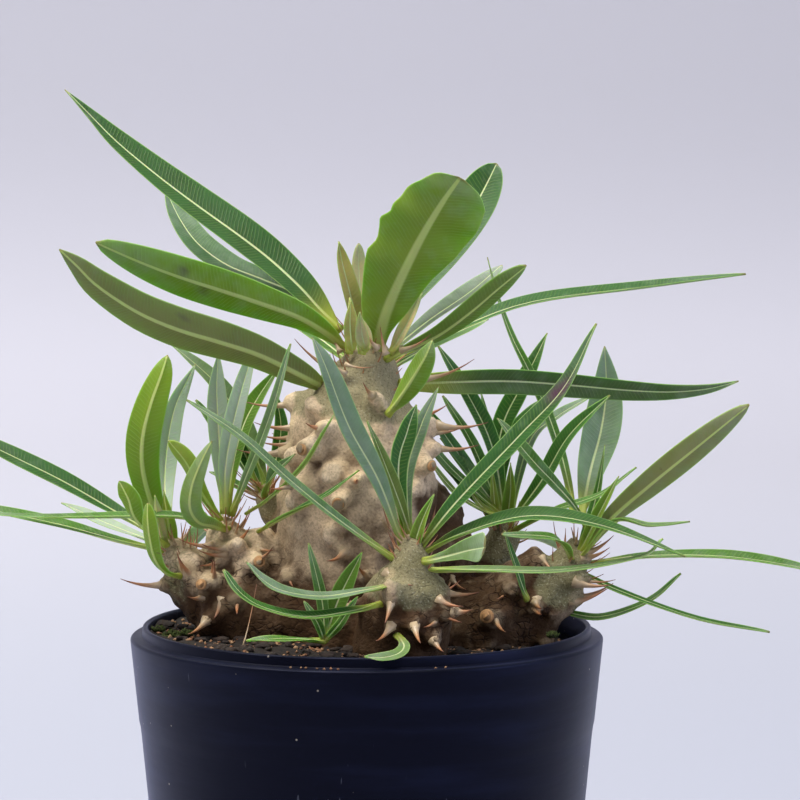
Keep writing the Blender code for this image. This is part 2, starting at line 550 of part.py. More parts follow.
def grown_stems(name, warts, extra, grain, faces):
    """All the stems and warts run together into one body with a flat underside.

    With extra, the body is fatter all round but only the gap deeper: the soil's hole for it.
    """
    stems = [stem(limb, rows, STEM_SIDES, extra) for limb, rows in LIMBS.items()]
    body = joined(name, stems + warts)
    remesh = body.modifiers.new("grow", "REMESH")
    remesh.mode = "VOXEL"
    remesh.voxel_size = grain * MM
    smooth = body.modifiers.new("smooth", "SMOOTH")
    smooth.factor = SMOOTH_SHARE
    smooth.iterations = SMOOTH_TIMES
    settle(body)
    thin = body.modifiers.new("thin", "DECIMATE")
    triangles = 2 * len(body.data.polygons)
    thin.ratio = min(1.0, faces / triangles)
    settle(body)
    bottom = Vector((0, 0, CAUDEX_BOTTOM - min(extra, GAP)))
    cut(body, tube("ground", [bottom - Vector((0, 0, ROOT_CUT)), bottom], [2 * ROOT_CUT] * 2, 8))
    return body


def make_crown(name, rows):
    """A growing tip with its leaves and spines joined to it."""
    tip = stem(name, rows, TIP_SIDES)
    pieces = [blade("leaf", *row) for row in LEAVES[name]]
    for root, point in SPINES.get(name, []):
        line = [seen(*root), seen(*point)]
        pieces.append(tube("spine", line, [NEEDLE_RADIUS * 2, POINT_RADIUS], NEEDLE_SIDES + 1))
    unite(tip, pieces)
    shade_round(tip, 50)
    paint(tip, LEAF_GREEN, 0.42)
    return tip


def tree_of(obj):
    """The object's faces, ready for looking up which of them touch another's."""
    graph = bpy.context.evaluated_depsgraph_get()
    return BVHTree.FromObject(obj, graph)


def clear_of(obj, trees):
    """Whether the object touches none of the others. An object in the way is removed."""
    own = tree_of(obj)
    if any(own.overlap(tree) for tree in trees):
        bpy.data.objects.remove(obj)
        return False
    return True


def inside_others(spot, own_name):
    """Whether a spot on one stem lies within another stem or against a growing tip."""
    for name, rows in list(LIMBS.items()) + list(TIPS.items()):
        line = smooth_line([seen(*row[:3]) for row in rows], 10)
        radius = max(row[3] for row in rows)
        if name != own_name and any((spot - middle).length < radius * 0.95 for middle in line):
            return True
    return False


def spiral_warts(draw):
    """(root, direction) for the warts that spiral up every stem."""
    for name, rows in LIMBS.items():
        length = sum((seen(*b[:3]) - seen(*a[:3])).length for a, b in zip(rows, rows[1:]))
        steps = round(length / SPIRAL_STEP * 2)
        line = smooth_line([seen(*row[:3]) for row in rows], steps)
        for step in range(1, steps):
            ahead = along(line, step)
            across = ahead.orthogonal().normalized()
            up = ahead.cross(across)
            angle = step * SPIRAL_TURN + draw.uniform(-0.3, 0.3)
            outward = cos(angle) * across + sin(angle) * up
            place = step / steps * (len(rows) - 1)
            part = min(int(place), len(rows) - 2)
            radius = rows[part][3] + (rows[part + 1][3] - rows[part][3]) * (place - part)
            spot = line[step] + outward * radius
            if spot.z > LOWEST_WART and not inside_others(spot, name):
                yield spot, outward


def make_wart(root, point):
    """A wart whose foot lies in the bark."""
    line = [root + (point - root) * t for t in (0, 0.5, 1)]
    return tube("wart", line, [WART_RADIUS, WART_RADIUS * 0.7, WART_RADIUS * 0.3], WART_SIDES)


def make_needle(root, point):
    """A spine that narrows to its point."""
    return tube("needle", [root, point], [NEEDLE_RADIUS, POINT_RADIUS], NEEDLE_SIDES)


def make_caudex(others):
    """The bark-covered stems with their warts and needles, clear of everything else."""
    trees = [tree_of(obj) for obj in others]
    draw = random.Random(SEED)
    warts, needles, roots = [], [], []
    for root, point in SPINES["caudex"]:
        start, end = seen(*root), seen(*point)
        top = start + (end - start) * WART_SHARE
        wart = make_wart(start, top)
        if clear_of(wart, trees):
            warts.append(wart)
            roots.append(top)
            needle = make_needle(top - (end - start).normalized() * NEEDLE_ROOT, end)
            if clear_of(needle, trees):
                needles.append(needle)
    for spot, outward in spiral_warts(draw):
        top = spot + outward * WART_HEIGHT
        if any((top - root).length < WART_SPACING for root in roots):
            continue
        wart = make_wart(spot - outward * WART_SINK, top)
        if not clear_of(wart, trees):
            continue
        warts.append(wart)
        roots.append(top)
        sideways = outward.cross(Vector((0, 0, 1))).normalized() * PAIR_SPREAD
        for lean in (sideways, -sideways):
            length = PAIR_LENGTH * draw.uniform(0.6, 1.1)
            needle = make_needle(top - outward * NEEDLE_ROOT, top + (outward + lean + PAIR_RISE) * length)
            if clear_of(needle, trees):
                needles.append(needle)
    caudex = grown_stems("caudex", warts, 0, BARK_GRAIN, BARK_FACES)
    for rows in TIPS.values():
        foot, above = seen(*rows[0][:3]), seen(*rows[1][:3])
        ahead = (above - foot).normalized()
        ends = [foot - ahead * GAP, foot + ahead * SOCKET_LENGTH]
        cut(caudex, tube("socket", ends, [rows[0][3] + SOCKET_MARGIN] * 2, STEM_SIDES + 2))
    unite(caudex, needles)
    shade_round(caudex, 60)
    paint(caudex, BARK_BEIGE, 0.75)
    return caudex


def main():
    for obj in list(bpy.data.objects):
        bpy.data.objects.remove(obj)
    others = [make_pot(), make_soil()]
    for name, rows in TIPS.items():
        others.append(make_crown(name, rows))
    others.append(make_crown("seedling", SEEDLING_STEM))
    make_caudex(others)


if __name__ == "__main__":
    main()
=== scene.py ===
"""The looks of a potted pachypodium: its bark, spines, leaves, soil and pot, made around its solids.

Lengths are in millimetres until they reach a mesh, and a mesh is in metres. Points of the plant are
written as (across, up, back): across and up are read on the upright plane through the pot's axis, as
somebody standing in front of the plant sees them, and back is how far behind that plane the point is.
"""

import random
from math import cos, exp, log, pi, radians, sin

import bmesh
import bpy
import numpy as np
from bpy.props import FloatProperty, FloatVectorProperty, IntProperty, PointerProperty
from mathutils import Matrix, Vector, noise
from mathutils.bvhtree import BVHTree


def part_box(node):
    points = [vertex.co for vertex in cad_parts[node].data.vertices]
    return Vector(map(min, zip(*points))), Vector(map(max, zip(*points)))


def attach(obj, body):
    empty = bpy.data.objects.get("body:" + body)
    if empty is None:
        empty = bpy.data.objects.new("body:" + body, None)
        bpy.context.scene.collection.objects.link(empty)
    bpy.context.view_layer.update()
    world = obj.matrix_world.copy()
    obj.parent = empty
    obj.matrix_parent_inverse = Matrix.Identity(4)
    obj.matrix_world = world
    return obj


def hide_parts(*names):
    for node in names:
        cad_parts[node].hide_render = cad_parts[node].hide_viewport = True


bl_info = {
    "name": "Potted pachypodium",
    "version": (1, 0, 0),
    "blender": (4, 5, 0),
    "location": "3D View > Sidebar > Pachypodium",
    "description": "Makes the bark, spines, leaves, soil and pot of a young pachypodium",
    "category": "Add Mesh",
}

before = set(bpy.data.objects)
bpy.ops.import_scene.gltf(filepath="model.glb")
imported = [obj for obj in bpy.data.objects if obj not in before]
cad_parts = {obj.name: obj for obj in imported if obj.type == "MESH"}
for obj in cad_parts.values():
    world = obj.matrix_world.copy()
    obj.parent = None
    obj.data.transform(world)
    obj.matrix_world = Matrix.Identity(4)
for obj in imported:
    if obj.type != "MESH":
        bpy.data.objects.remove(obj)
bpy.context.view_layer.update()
POT_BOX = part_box("pot")

MM = 0.001
SEED = 7

# Where the photograph's camera stands and looks, and its lens.
EYE = Vector((7.4, -694.2, 198.6))
AIM = Vector((7.4, 3.9, 146.7))
LENS = 141.0
SENSOR = 36.0

# The pot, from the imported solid's own box: a tapering wall, a shoulder and a low collar on it.
POT_HEIGHT = POT_BOX[1].z / MM
SHOULDER_RADIUS = POT_BOX[1].x / MM
SHOULDER_HEIGHT = POT_HEIGHT - 2.4
BASE_RADIUS = 43.4
BAND_HEIGHT = 76.0
BAND_STEP = 0.5
COLLAR_RADIUS = SHOULDER_RADIUS - 2.7
COLLAR_WALL = 1.2
FLOOR = 1.6
DRAIN_HOLES = 8
DRAIN_RADIUS = 3.5
DRAIN_CIRCLE = 30.0
CORNER_ROUND = 0.7
LIP_ROUND = 0.6
CUTTER_SIDES = 24
CREASE = radians(40)

# The soil lies higher on the left and at the front, with broad lumps and small crumbs.
SOIL_LEVEL = 93.3
SOIL_SLOPE = (-0.05, -0.03)
SOIL_LUMP = 0.5
SOIL_GAP = 0.3
SOIL_RADIUS = COLLAR_RADIUS - COLLAR_WALL - SOIL_GAP
SOIL_RING_STEP = 1.5
SOIL_SIDES = 160
CRUMB_SIZE = 2.2
CRUMB_RISE = 0.9

# Stems: rows of (across, up, back, radius), from the root end to the tip.
LIMBS = {
    "trunk": [
        (-1, 76, 0, 20), (-1, 98, 0, 19.5), (-2, 112, 0, 17.5), (-2, 124, 0, 18), (-2, 134, 0, 16.5),
        (-2.5, 142, 0, 14.5), (-2, 150, 0, 10),
    ],
    "left_arm": [(-4, 94, 0, 15), (-18, 98, -2, 13), (-30, 101, -3, 11), (-37, 102, -3, 9)],
    "left_outer": [(-34, 102, -3, 8), (-38, 106, -3, 6.8), (-40, 110, -3.5, 5.9)],
    "left_middle": [(-26, 104, -2, 9), (-29.5, 111, -2, 7.2), (-31, 116, -2, 5.6)],
    "left_inner": [(-13, 117, 5, 8), (-18, 121, 5, 5), (-21, 124, 5, 3.6)],
    "front": [(5, 76, -18, 11), (8, 95, -24, 10.5), (9, 102, -26.5, 9.5), (9.5, 107, -27.5, 8)],
    "right_arm": [(4, 91, 2, 14), (18, 95, 3, 11.5), (30, 97, 1, 11), (37, 98, 0, 8)],
    "right_outer": [(36, 99, 0, 8), (39.5, 103, -1, 6.4), (41.8, 106, -1, 5.8)],
    "right_inner": [(18, 98, 11, 8), (24, 104, 14, 6), (28, 110, 16, 5), (30, 115, 16.5, 4.4)],
    "back": [(-4, 94, 12, 12), (-6, 102, 21, 9.5), (-7, 109, 26, 7.5)],
    "right_flank": [(6, 122, 3, 11), (11, 122, 5, 8), (14, 121, 6, 5.5)],
    "right_saddle": [(6, 110, 2, 13), (14, 111.5, 7, 10), (21, 113.5, 12, 7.5)],
    "right_side": [(8, 126, 6, 8), (14, 122, 9, 7), (19, 119, 11, 5.6)],
    "right_shoulder": [(28, 99, 0, 8), (34, 105, -1, 6.6), (40.5, 111, -1, 4.8)],
    "left_shoulder": [(-20, 104, -1, 8), (-24.5, 113, -1, 6.2), (-25.5, 118, -1, 3.8)],
}

# Green growing tips, one on each stem: rows like those of the stems.
TIPS = {
    "crown_main": [
        (-2, 145, 0, 12.2), (-1.5, 149, 0, 10), (0, 153, 0, 7.5), (0.5, 157, 0, 5.6), (0.5, 162, 0, 2.5),
    ],
    "crown_left_outer": [
        (-39, 107.5, -3.5, 5.8), (-41, 110.7, -4, 4.6), (-42.5, 113.5, -4, 3.4), (-43.3, 116, -4, 1.6),
    ],
    "crown_left_middle": [(-30.6, 114.3, -2, 5.3), (-31.5, 117.6, -2, 4), (-32, 121, -2, 1.7)],
    "crown_left_inner": [(-21, 124, 5, 3.4), (-22.3, 126, 4.5, 2.7), (-23, 128.5, 4, 1.3)],
    "crown_front": [
        (9.4, 105.5, -27.5, 7.4), (9.6, 109, -27.5, 5.8), (10, 113, -27.5, 3.6), (10.2, 116, -27.5, 1.8),
    ],
    "crown_right_inner": [(29.4, 113, 16.5, 4.2), (31, 117, 16, 3.6), (31, 121, 16, 1.6)],
    "crown_right_outer": [(41.6, 104.8, -1, 5.6), (44, 108.5, -1, 5), (46, 112, -1, 4), (47, 116, -1, 1.8)],
    "crown_back": [(-6.8, 107.5, 25.4, 7), (-7, 111, 26.5, 5.2), (-7, 115, 27, 2)],
}

# A blade's outline: where it is widest, how full it is (smaller is fuller), how far its sides fold
# up from the midrib, and how many steps it takes along its length.
SHAPES = {
    "lance": (0.52, 0.85, 0.28, 34),
    "broad": (0.42, 0.85, 0.28, 40),
    "oval": (0.62, 0.62, 0.12, 64),
    "ribbon": (0.50, 0.60, 0.20, 28),
    "young": (0.36, 0.85, 0.45, 20),
    "blunt": (0.62, 0.55, 0.22, 34),
    "low": (0.30, 0.75, 0.20, 30),
    "flag": (0.85, 0.50, 0.15, 30),
}
# Where a blade isn't the same on both sides: (share of its length, one half width, the other), as shares.
EDGES = {
    "oval": [
        (0.0, 0.09, 0.09), (0.08, 0.13, 0.15), (0.15, 0.20, 0.30), (0.25, 0.36, 0.58), (0.32, 0.48, 0.72),
        (0.38, 0.57, 0.84), (0.42, 0.63, 0.91), (0.46, 0.70, 0.81), (0.50, 0.77, 0.88), (0.54, 0.85, 0.97),
        (0.59, 0.90, 0.84), (0.63, 0.93, 0.87), (0.67, 0.95, 0.80), (0.72, 0.95, 0.78), (0.78, 0.92, 0.70),
        (0.85, 0.86, 0.60), (0.90, 0.78, 0.50), (0.94, 0.66, 0.38), (0.97, 0.50, 0.24), (1.0, 0.12, 0.06),
    ],
    "flag": [
        (0.0, 0.2, 0.2), (0.3, 0.4, 0.3), (0.6, 0.7, 0.5), (0.85, 0.95, 0.85), (0.96, 1.0, 0.9),
        (1.0, 0.5, 0.4),
    ],
}
# A blade's thickness in the middle, its margins' share of that, its width at the tip, and how its fold bends.
BLADE = 0.34
MARGIN_SHARE = 0.35
TIP_WIDTH = 0.25
FOLD_POWER = 1.25
# The stalk's share of the length, its width and depth, and their limits as shares of the blade's width.
STALK_SHARE = 0.16
STALK_WIDTH = 1.9
STALK_DEPTH = 1.5
STALK_WIDEST = 0.8
STALK_DEEPEST = 0.6
# The midrib: half its width in the narrowest blade, what a wider blade adds, its limit as a share of the half
# blade, how far it stands out beneath and how much of that it loses by the tip. Then come the depth of the
# groove above it, and the groove's width against the rib's.
RIB_LEAST = 0.12
RIB_SHARE = 0.034
RIB_LIMIT = 0.3
RIB_RISE = 0.55
RIB_LOSS = 0.8
GROOVE = 0.14
GROOVE_SHARE = 0.7
# The waves of the margins: how high, how fast along the blade, and how far the two sides are out of step. An
# oval blade has more of them: how high, how many, and how quickly they set in from both ends.
EDGE_WAVE = 0.35
EDGE_SPEED = 7.0
EDGE_LAG = 1.3
OVAL_WAVE = 0.9
OVAL_WAVES = 4.5
OVAL_EASE = 6.0
# Where the points of a blade's section stand, as shares of its half width, beside the midrib's three.
SECTION = (1.0, 0.95, 0.8, 0.6, 0.4)

# Tones: how yellow a leaf is, how much pale bloom it carries, how bronzed and how browned it is, as shares.
# The browning is the purple-brown of the blushes; on the shadow tone it is painted shade.
TONES = {
    "deep": (0.1, 0.05, 0, 0), "blue": (0, 0.15, 0, 0), "sea": (0.1, 0.5, 0, 0), "pale": (0.15, 1.05, 0, 0),
    "dusty": (0.25, 0.4, 0, 0), "dark": (0.35, 0.05, 0, 0.26), "mid": (0.4, 0.2, 0, 0),
    "sage": (0.45, 0.35, 0.05, 0), "lime": (0.85, 0, 0, 0.1), "olive": (0.5, 0.1, 0.15, 0),
    "greyolive": (0.3, 0.25, 0.3, 0.38), "young": (0.95, 0, 0.15, 0), "bronze": (0.9, 0, 0.25, 0),
    "straw": (1, 0.5, 1, 0), "umber": (0.5, 0.1, 0.2, 0.38), "misty": (0.15, 0.6, 0, 0),
    "steel": (0, 0.6, 0, 0.18), "broadleaf": (0.72, 0.15, 0.05, 0.05), "limy": (0.8, 0.2, 0, 0.03),
    "night": (0, 0, 0, 0.1), "mustard": (1, 0, 0.75, 0.05), "tide": (0, 0.3, 0, 0),
    "shadow": (0.35, 0.2, 0, 0.3),
}
# Leaves: width, the direction that the upper side looks, the outline, the tone, and the midrib's points.
LEAVES = {
    "crown_main": [
        (10.2, (0.45, -0.7, 0.55), "broad", "night", [(-5.7, 162.2, 0), (-10, 166.6, 1), (-14.8, 172, 2),
         (-21.5, 178.2, 4), (-28.2, 183.4, 5), (-37.1, 189.8, 7), (-46, 196.5, 9), (-54.9, 203.9, 11),
         (-60.5, 209.5, 12), (-66.5, 215.7, 12)]),
        (8.2, (0.5, -0.7, 0.5), "blunt", "tide", [(-5.5, 162.6, 2), (-14.8, 170, 6), (-23.3, 173.8, 10),
         (-30.9, 176.9, 15), (-37.1, 181.4, 20), (-41.1, 186.7, 26), (-44.2, 193, 32)]),
        (9.3, (0.15, 1, 0.2), "blunt", "limy", [(-4.2, 157.9, -1), (-8.2, 161.3, -4), (-14.8, 165.3, -9),
         (-23.8, 168.6, -14), (-32.6, 171.5, -18), (-41.6, 174.4, -22), (-50.5, 177.8, -26),
         (-60, 182, -30)]),
        (9.2, (0.15, 1, 0.2), "lance", "umber", [(-5.5, 148.3, -2), (-10.4, 150.3, -6), (-14.8, 152.6, -10),
         (-23.8, 157, -16), (-32.6, 159.9, -22), (-41.6, 162.6, -27), (-50.5, 166.4, -32),
         (-59.4, 172.2, -37), (-64.2, 176.9, -39), (-68, 180.5, -40)]),
        (20.6, (0, 1, 0.1), "oval", "broadleaf", [(1.6, 154.5, -2), (4.4, 166.5, -8), (10.8, 180.5, -15),
         (16.4, 190.2, -20), (20.7, 196.3, -24)]),
        (10.5, (-0.3, -0.9, 0.3), "blunt", "night", [(2.5, 159.9, 2), (10.1, 170.4, 11), (17.4, 180, 18),
         (23, 188.3, 22), (26.3, 194.3, 24), (28.8, 199.4, 25)]),
        (6.2, (-0.4, -0.6, 0.7), "blunt", "steel", [(2, 155, 3), (13, 164, 14), (23, 171, 26),
         (30, 177, 36)]),
        (5.6, (-0.35, 0.9, 0.4), "blunt", "dark", [(4.1, 155.9, -4), (9.6, 158.4, -7), (16.3, 161.7, -11),
         (23, 166.6, -15), (29.6, 172.2, -18), (35.4, 176.9, -20)]),
        (7, (0, -0.25, 1), "lance", "blue", [(2, 154, 1), (23, 164, 6), (38, 169, 9), (61, 172, 14),
         (84, 175, 20)]),
        (5.8, (0, -1, -0.15), "low", "shadow", [(6.3, 150.6, -1), (18.5, 151, 2), (31.9, 151.2, 4),
         (45.2, 150.3, 6), (57.5, 149.2, 8), (67.5, 148.8, 9), (75.9, 149.5, 10), (82.6, 151.2, 11)]),
        (5.4, (0.5, 0.9, 0.1), "lance", "mid", [(4.7, 143.7, -13), (7.4, 147.4, -16), (10.5, 152.1, -20),
         (13.2, 156.8, -23), (14.7, 160.4, -24)]),
        (4.6, (0.5, -0.8, 0.2), "young", "mustard", [(-2.2, 161.5, -1), (-2.8, 166.6, -2),
         (-4.4, 173.3, -3), (-5.7, 178.7, -3), (-6.2, 182.2, -3)]),
        (3.4, (0.2, -1, 0), "blunt", "straw", [(-1.1, 162.2, 1), (-1.3, 169.3, 2), (-1.7, 176, 3),
         (-1.7, 181.8, 3)]),
        (8, (0, -1, 0.4), "lance", "mid", [(0, 156, 2), (8, 172, 25), (14, 184, 50)]),
        (8, (0, -0.4, 1), "lance", "mid", [(-2, 150, 5), (-4, 150, 32), (-6, 140, 58)]),
        (7, (0.3, -0.7, 0.6), "lance", "mid", [(-2, 154, 2), (-14, 163, 28), (-26, 168, 52)]),
        (7, (-0.3, -0.7, 0.6), "lance", "mid", [(2, 152, 3), (16, 160, 28), (27, 165, 50)]),
        (3.4, (0.3, -0.9, 0.1), "young", "mustard", [(-3.3, 158.2, -9), (-3.7, 163.7, -11),
         (-3.5, 169.3, -12)]),
        (3, (-0.2, -0.9, 0.1), "young", "straw", [(-0.2, 158.2, -12), (-1.1, 162.2, -14),
         (-1.5, 166.6, -15)]),
        (3.2, (0.3, -0.9, 0), "young", "mustard", [(-3.9, 157.3, -5), (-3.3, 163.7, -6),
         (-3.7, 169.8, -6)]),
        (3.4, (0.1, -0.9, 0), "young", "straw", [(-1.1, 157.3, -8), (-0.4, 161.3, -9), (-1.3, 165.5, -9)]),
        (3, (-0.4, -0.9, 0.2), "young", "straw", [(5.4, 157.3, -5), (9.2, 164.4, -7), (12.3, 170.9, -8)]),
    ],
    "crown_left_outer": [
        (7.7, (0.1, 1, 0), "ribbon", "lime", [(-44.9, 117.6, -4), (-47.8, 123.6, -6), (-49.8, 131.4, -8),
         (-49.8, 138.5, -9), (-48, 145.9, -9), (-45.6, 152.6, -8), (-44.2, 157, -7)]),
        (5, (0.3, -1, 0.2), "lance", "pale", [(-44, 117, -2), (-45, 129, 8), (-43, 144, 13),
         (-38, 155, 16)]),
        (5, (0.5, 0.9, 0.2), "blunt", "lime", [(-44, 114, -5), (-51, 120, -15), (-53, 125, -18),
         (-55, 129, -18)]),
        (4.2, (0.5, 0.9, 0.2), "blunt", "lime", [(-41.3, 107.5, -9), (-44.9, 108.6, -15),
         (-47.1, 111.5, -19), (-48.2, 115.8, -21), (-48.7, 120.2, -22), (-48.7, 124, -22)]),
        (6, (0.4, -0.6, 0.8), "lance", "blue", [(-44, 115, -3), (-56, 122, 2), (-68, 129, 4), (-82, 136, 6),
         (-87, 139, 7)]),
        (5, (0, -0.3, 1), "lance", "mid", [(-44, 113, -5), (-57, 116, -8), (-68, 119, -9), (-82, 122, -10),
         (-87, 123, -10)]),
        (3.6, (0.3, -0.6, 0.7), "lance", "pale", [(-44, 114, -2), (-57, 119, 14), (-68, 124, 24)]),
        (3, (0.2, 1, 0), "young", "young", [(-43.3, 113.1, -4), (-44.2, 119.8, -6), (-45.3, 126.9, -6)]),
        (2.4, (0.4, 0.9, 0), "young", "straw", [(-44.7, 114, -5), (-46.4, 120.2, -8), (-47.1, 125.8, -9)]),
    ],
    "crown_left_middle": [
        (5, (0.3, 1, 0), "ribbon", "sage", [(-30.9, 118, -4), (-34.4, 118.9, -10), (-37.5, 119.8, -15),
         (-39.3, 122.9, -17), (-38.9, 127.6, -18), (-36.9, 132.9, -19), (-34.4, 137.9, -19)]),
        (4.6, (0.5, 0.9, 0.1), "blunt", "bronze", [(-32, 119, -2), (-37, 127, -6), (-40, 133, -8),
         (-44, 138, -9)]),
        (4.8, (0.2, -1, 0.1), "lance", "pale", [(-31.8, 121.6, -2), (-32.4, 131.4, 1), (-33.1, 142.5, 3),
         (-33.3, 150.3, 4), (-32.9, 157.5, 5)]),
        (4.6, (-0.3, -0.9, 0.2), "lance", "pale", [(-31.3, 121.6, -3), (-31.5, 130.3, -4),
         (-30.4, 138.1, -5), (-28.6, 145.9, -6), (-26.4, 153.7, -6), (-24.4, 159.7, -6)]),
        (2.9, (-0.5, -0.8, 0.2), "ribbon", "sage", [(-30, 121.6, -3), (-26.9, 129.6, -12),
         (-23.3, 138.5, -18), (-20.2, 147.4, -22), (-16.9, 159.5, -25)]),
        (5, (-0.4, -0.85, 0.3), "lance", "lime", [(-31.1, 122.5, 1), (-29.5, 133.6, 5), (-27.3, 141.4, 8),
         (-24.2, 147.4, 10), (-19.7, 154.1, 12)]),
        (4, (0, -0.2, 1), "ribbon", "mid", [(-32, 119, -3), (-42, 121, -9), (-55, 121, -10.5),
         (-73, 121, -13), (-87, 122, -15)]),
        (6, (0, -0.3, 1), "lance", "mid", [(-31, 118, 0), (-36, 118, 25), (-41, 112, 46)]),
    ],
    "crown_left_inner": [
        (1.5, (0, -0.5, 1), "ribbon", "deep", [(-24.2, 117.6, -4), (-20.4, 120, -10), (-14.8, 122.9, -18),
         (-10, 125.4, -22), (-5.9, 128.3, -23), (-1.7, 131.4, -24)]),
        (1.3, (-0.5, 0.5, 0.5), "ribbon", "olive", [(-26.9, 121.6, -6), (-22, 125.1, -12),
         (-17.1, 129.2, -18), (-13.1, 133.6, -20), (-9.5, 139.9, -22), (-7.3, 143.9, -22)]),
        (3.5, (-0.4, -0.7, 0.5), "young", "mid", [(-23, 125, 4), (-21, 130, -8), (-16, 135, -13)]),
        (3, (0.3, -0.5, 0.8), "ribbon", "mid", [(-23, 125, 5), (-29, 128, 9), (-35, 131, 12)]),
        (3.5, (0.5, -0.7, 0.3), "young", "young", [(-23, 126, 4), (-25, 131, 6), (-27, 136, 8)]),
        (6, (0.6, -0.6, 0.4), "lance", "sage", [(-22, 125, 6), (-26, 138, 14), (-33, 150, 20),
         (-44, 160, 26)]),
        (3.5, (0.6, -0.6, 0.4), "ribbon", "mid", [(-23, 125, 6), (-30, 136, 15), (-38, 147, 18)]),
        (3, (-0.3, -0.9, 0.2), "lance", "deep", [(-22.9, 126, 4), (-25.3, 131.4, 6), (-27.5, 135.8, 8),
         (-29.5, 141, 10)]),
        (3.4, (0.3, -0.9, 0.2), "lance", "deep", [(-22.4, 126, 8), (-20, 134.7, 10), (-19.1, 141.4, 12),
         (-20.4, 148.8, 14)]),
    ],
    "crown_front": [
        (6, (0.6, -0.8, 0.3), "lance", "misty", [(9, 111, -27), (3, 128, -31), (-4, 141, -33),
         (-9, 154, -34), (-12, 161, -34)]),
        (5.6, (-0.7, -0.7, 0.4), "lance", "blue", [(10, 111, -27), (19, 123, -30), (34, 139, -33),
         (44, 150, -34), (51, 164, -33)]),
        (3.2, (0.4, -0.6, 0.7), "ribbon", "dusty", [(8, 110, -28), (-6, 120, -33), (-17, 129, -35),
         (-28, 139, -36), (-40, 147, -35)]),
        (6.5, (0, -0.35, 1), "lance", "deep", [(11, 112, -27), (21, 117, -31), (36, 121, -36),
         (52, 119, -40), (71, 112, -44)]),
        (6.6, (0.1, -1, 0.25), "flag", "sage", [(12.7, 110.9, -31), (17.6, 112, -42), (22.5, 113.3, -53),
         (26.3, 114, -61.5)]),
        (2.8, (0, -0.25, 1), "ribbon", "sage", [(10, 109, -29), (25, 109, -35), (43, 109, -39),
         (61, 112, -41), (66, 116, -41)]),
        (3.8, (0, -0.35, 1), "ribbon", "sea", [(7.4, 105.9, -31), (-0.4, 104.4, -39), (-10, 103, -43),
         (-18.6, 104.2, -46), (-23.3, 106.8, -46), (-26.9, 110.9, -46)]),
        (3.8, (0, -0.35, 1), "ribbon", "deep", [(3.8, 101.5, -33), (-3.3, 99.7, -41), (-13.7, 98.4, -46),
         (-23.3, 100.6, -49), (-28.6, 104.2, -50), (-32, 109.1, -50)]),
        (3, (-0.3, -0.9, 0.3), "young", "young", [(10, 112, -27), (12, 119, -29), (15, 126, -30)]),
        (4.5, (0.3, -0.9, 0.2), "lance", "deep", [(9, 112, -26), (7, 131, -25), (9, 140, -24),
         (11, 146, -23)]),
        (3.8, (-0.3, -0.9, 0.2), "lance", "sea", [(10, 112, -25), (9, 130, -22), (12, 141, -21),
         (16, 150, -20)]),
        (3.2, (0.6, -0.8, 0.3), "lance", "olive", [(10.1, 115.5, -25), (7.4, 123.6, -27), (3.8, 133.2, -28),
         (0.1, 142.5, -29)]),
        (3.2, (0, -0.6, 1), "lance", "sage", [(6.7, 94.3, -35), (8.3, 91.9, -42), (7, 90.1, -47),
         (3.4, 89.2, -50.5), (-0.6, 89.4, -51)]),
    ],
    "crown_right_inner": [
        (4.5, (0.5, -0.8, 0.2), "lance", "deep", [(31, 118, 16), (28, 136, 13), (22, 149, 12),
         (16, 159, 10)]),
        (5, (-0.4, -0.9, 0.2), "lance", "deep", [(31, 118.2, 17), (29, 131.4, 19), (30.3, 141.4, 20),
         (33.7, 148.8, 20), (37.2, 155.7, 20), (40.1, 161.9, 20)]),
        (4, (-0.4, -0.5, 0.7), "lance", "sea", [(31, 117, 18), (36, 137, 26), (42, 143, 32),
         (50, 148, 38)]),
        (5, (-0.5, -0.7, 0.5), "lance", "deep", [(31, 118, 15), (39, 129, 7), (45, 139, 2), (54, 148, -4)]),
        (2.6, (0, -0.4, 1), "ribbon", "mid", [(31, 117, 15), (41, 122, 0), (52, 126, -5), (60, 132, -6)]),
        (2.8, (0.5, -0.6, 0.5), "ribbon", "mid", [(31, 117, 15), (24, 125, 11), (15, 135, 9)]),
        (3.2, (0.5, -0.7, 0.4), "ribbon", "mid", [(31, 118, 16), (24, 136, 16), (17, 148, 15)]),
        (3, (-0.3, -0.9, 0.2), "young", "young", [(31, 118, 15), (32, 126, 12), (32, 133, 11)]),
        (3.4, (-0.3, -0.9, 0.3), "lance", "deep", [(30.5, 121.6, 20), (30.3, 130.9, 22), (32.3, 138.7, 24),
         (36.3, 144.3, 26), (40.3, 147.9, 28)]),
        (3.4, (0.4, -0.8, 0.3), "lance", "deep", [(29.6, 121.6, 14), (23, 131.4, 10), (18.1, 138.1, 8),
         (13.9, 144.8, 7)]),
        (2.6, (0.4, -0.7, 0.5), "ribbon", "mid", [(30.1, 121.1, 14), (23, 127.6, 8), (17.4, 133.2, 5),
         (13.4, 138.3, 4)]),
        (1.8, (0.4, -0.6, 0.6), "ribbon", "olive", [(29.4, 120.7, 12), (22.1, 124.5, 6), (17.4, 128.9, 4),
         (13.4, 134.3, 3)]),
        (1.5, (0.2, -1, 0.2), "ribbon", "deep", [(29.9, 122, 20), (28.5, 133.2, 20), (27.2, 141, 20),
         (25.4, 148.6, 20)]),
        (3.2, (0.4, -0.8, 0.4), "lance", "mid", [(30.1, 121.6, 15), (25.6, 127.4, 11), (21.2, 133.2, 9),
         (16.3, 138.5, 8)]),
        (2.4, (0.4, -0.8, 0.4), "lance", "deep", [(27.9, 121.6, 12), (23, 126, 9), (18.3, 131.6, 7),
         (13.6, 136.7, 6)]),
        (1.8, (0.4, -0.8, 0.4), "young", "bronze", [(28.8, 120.7, 12), (25.2, 123.6, 9), (22.5, 127.8, 8)]),
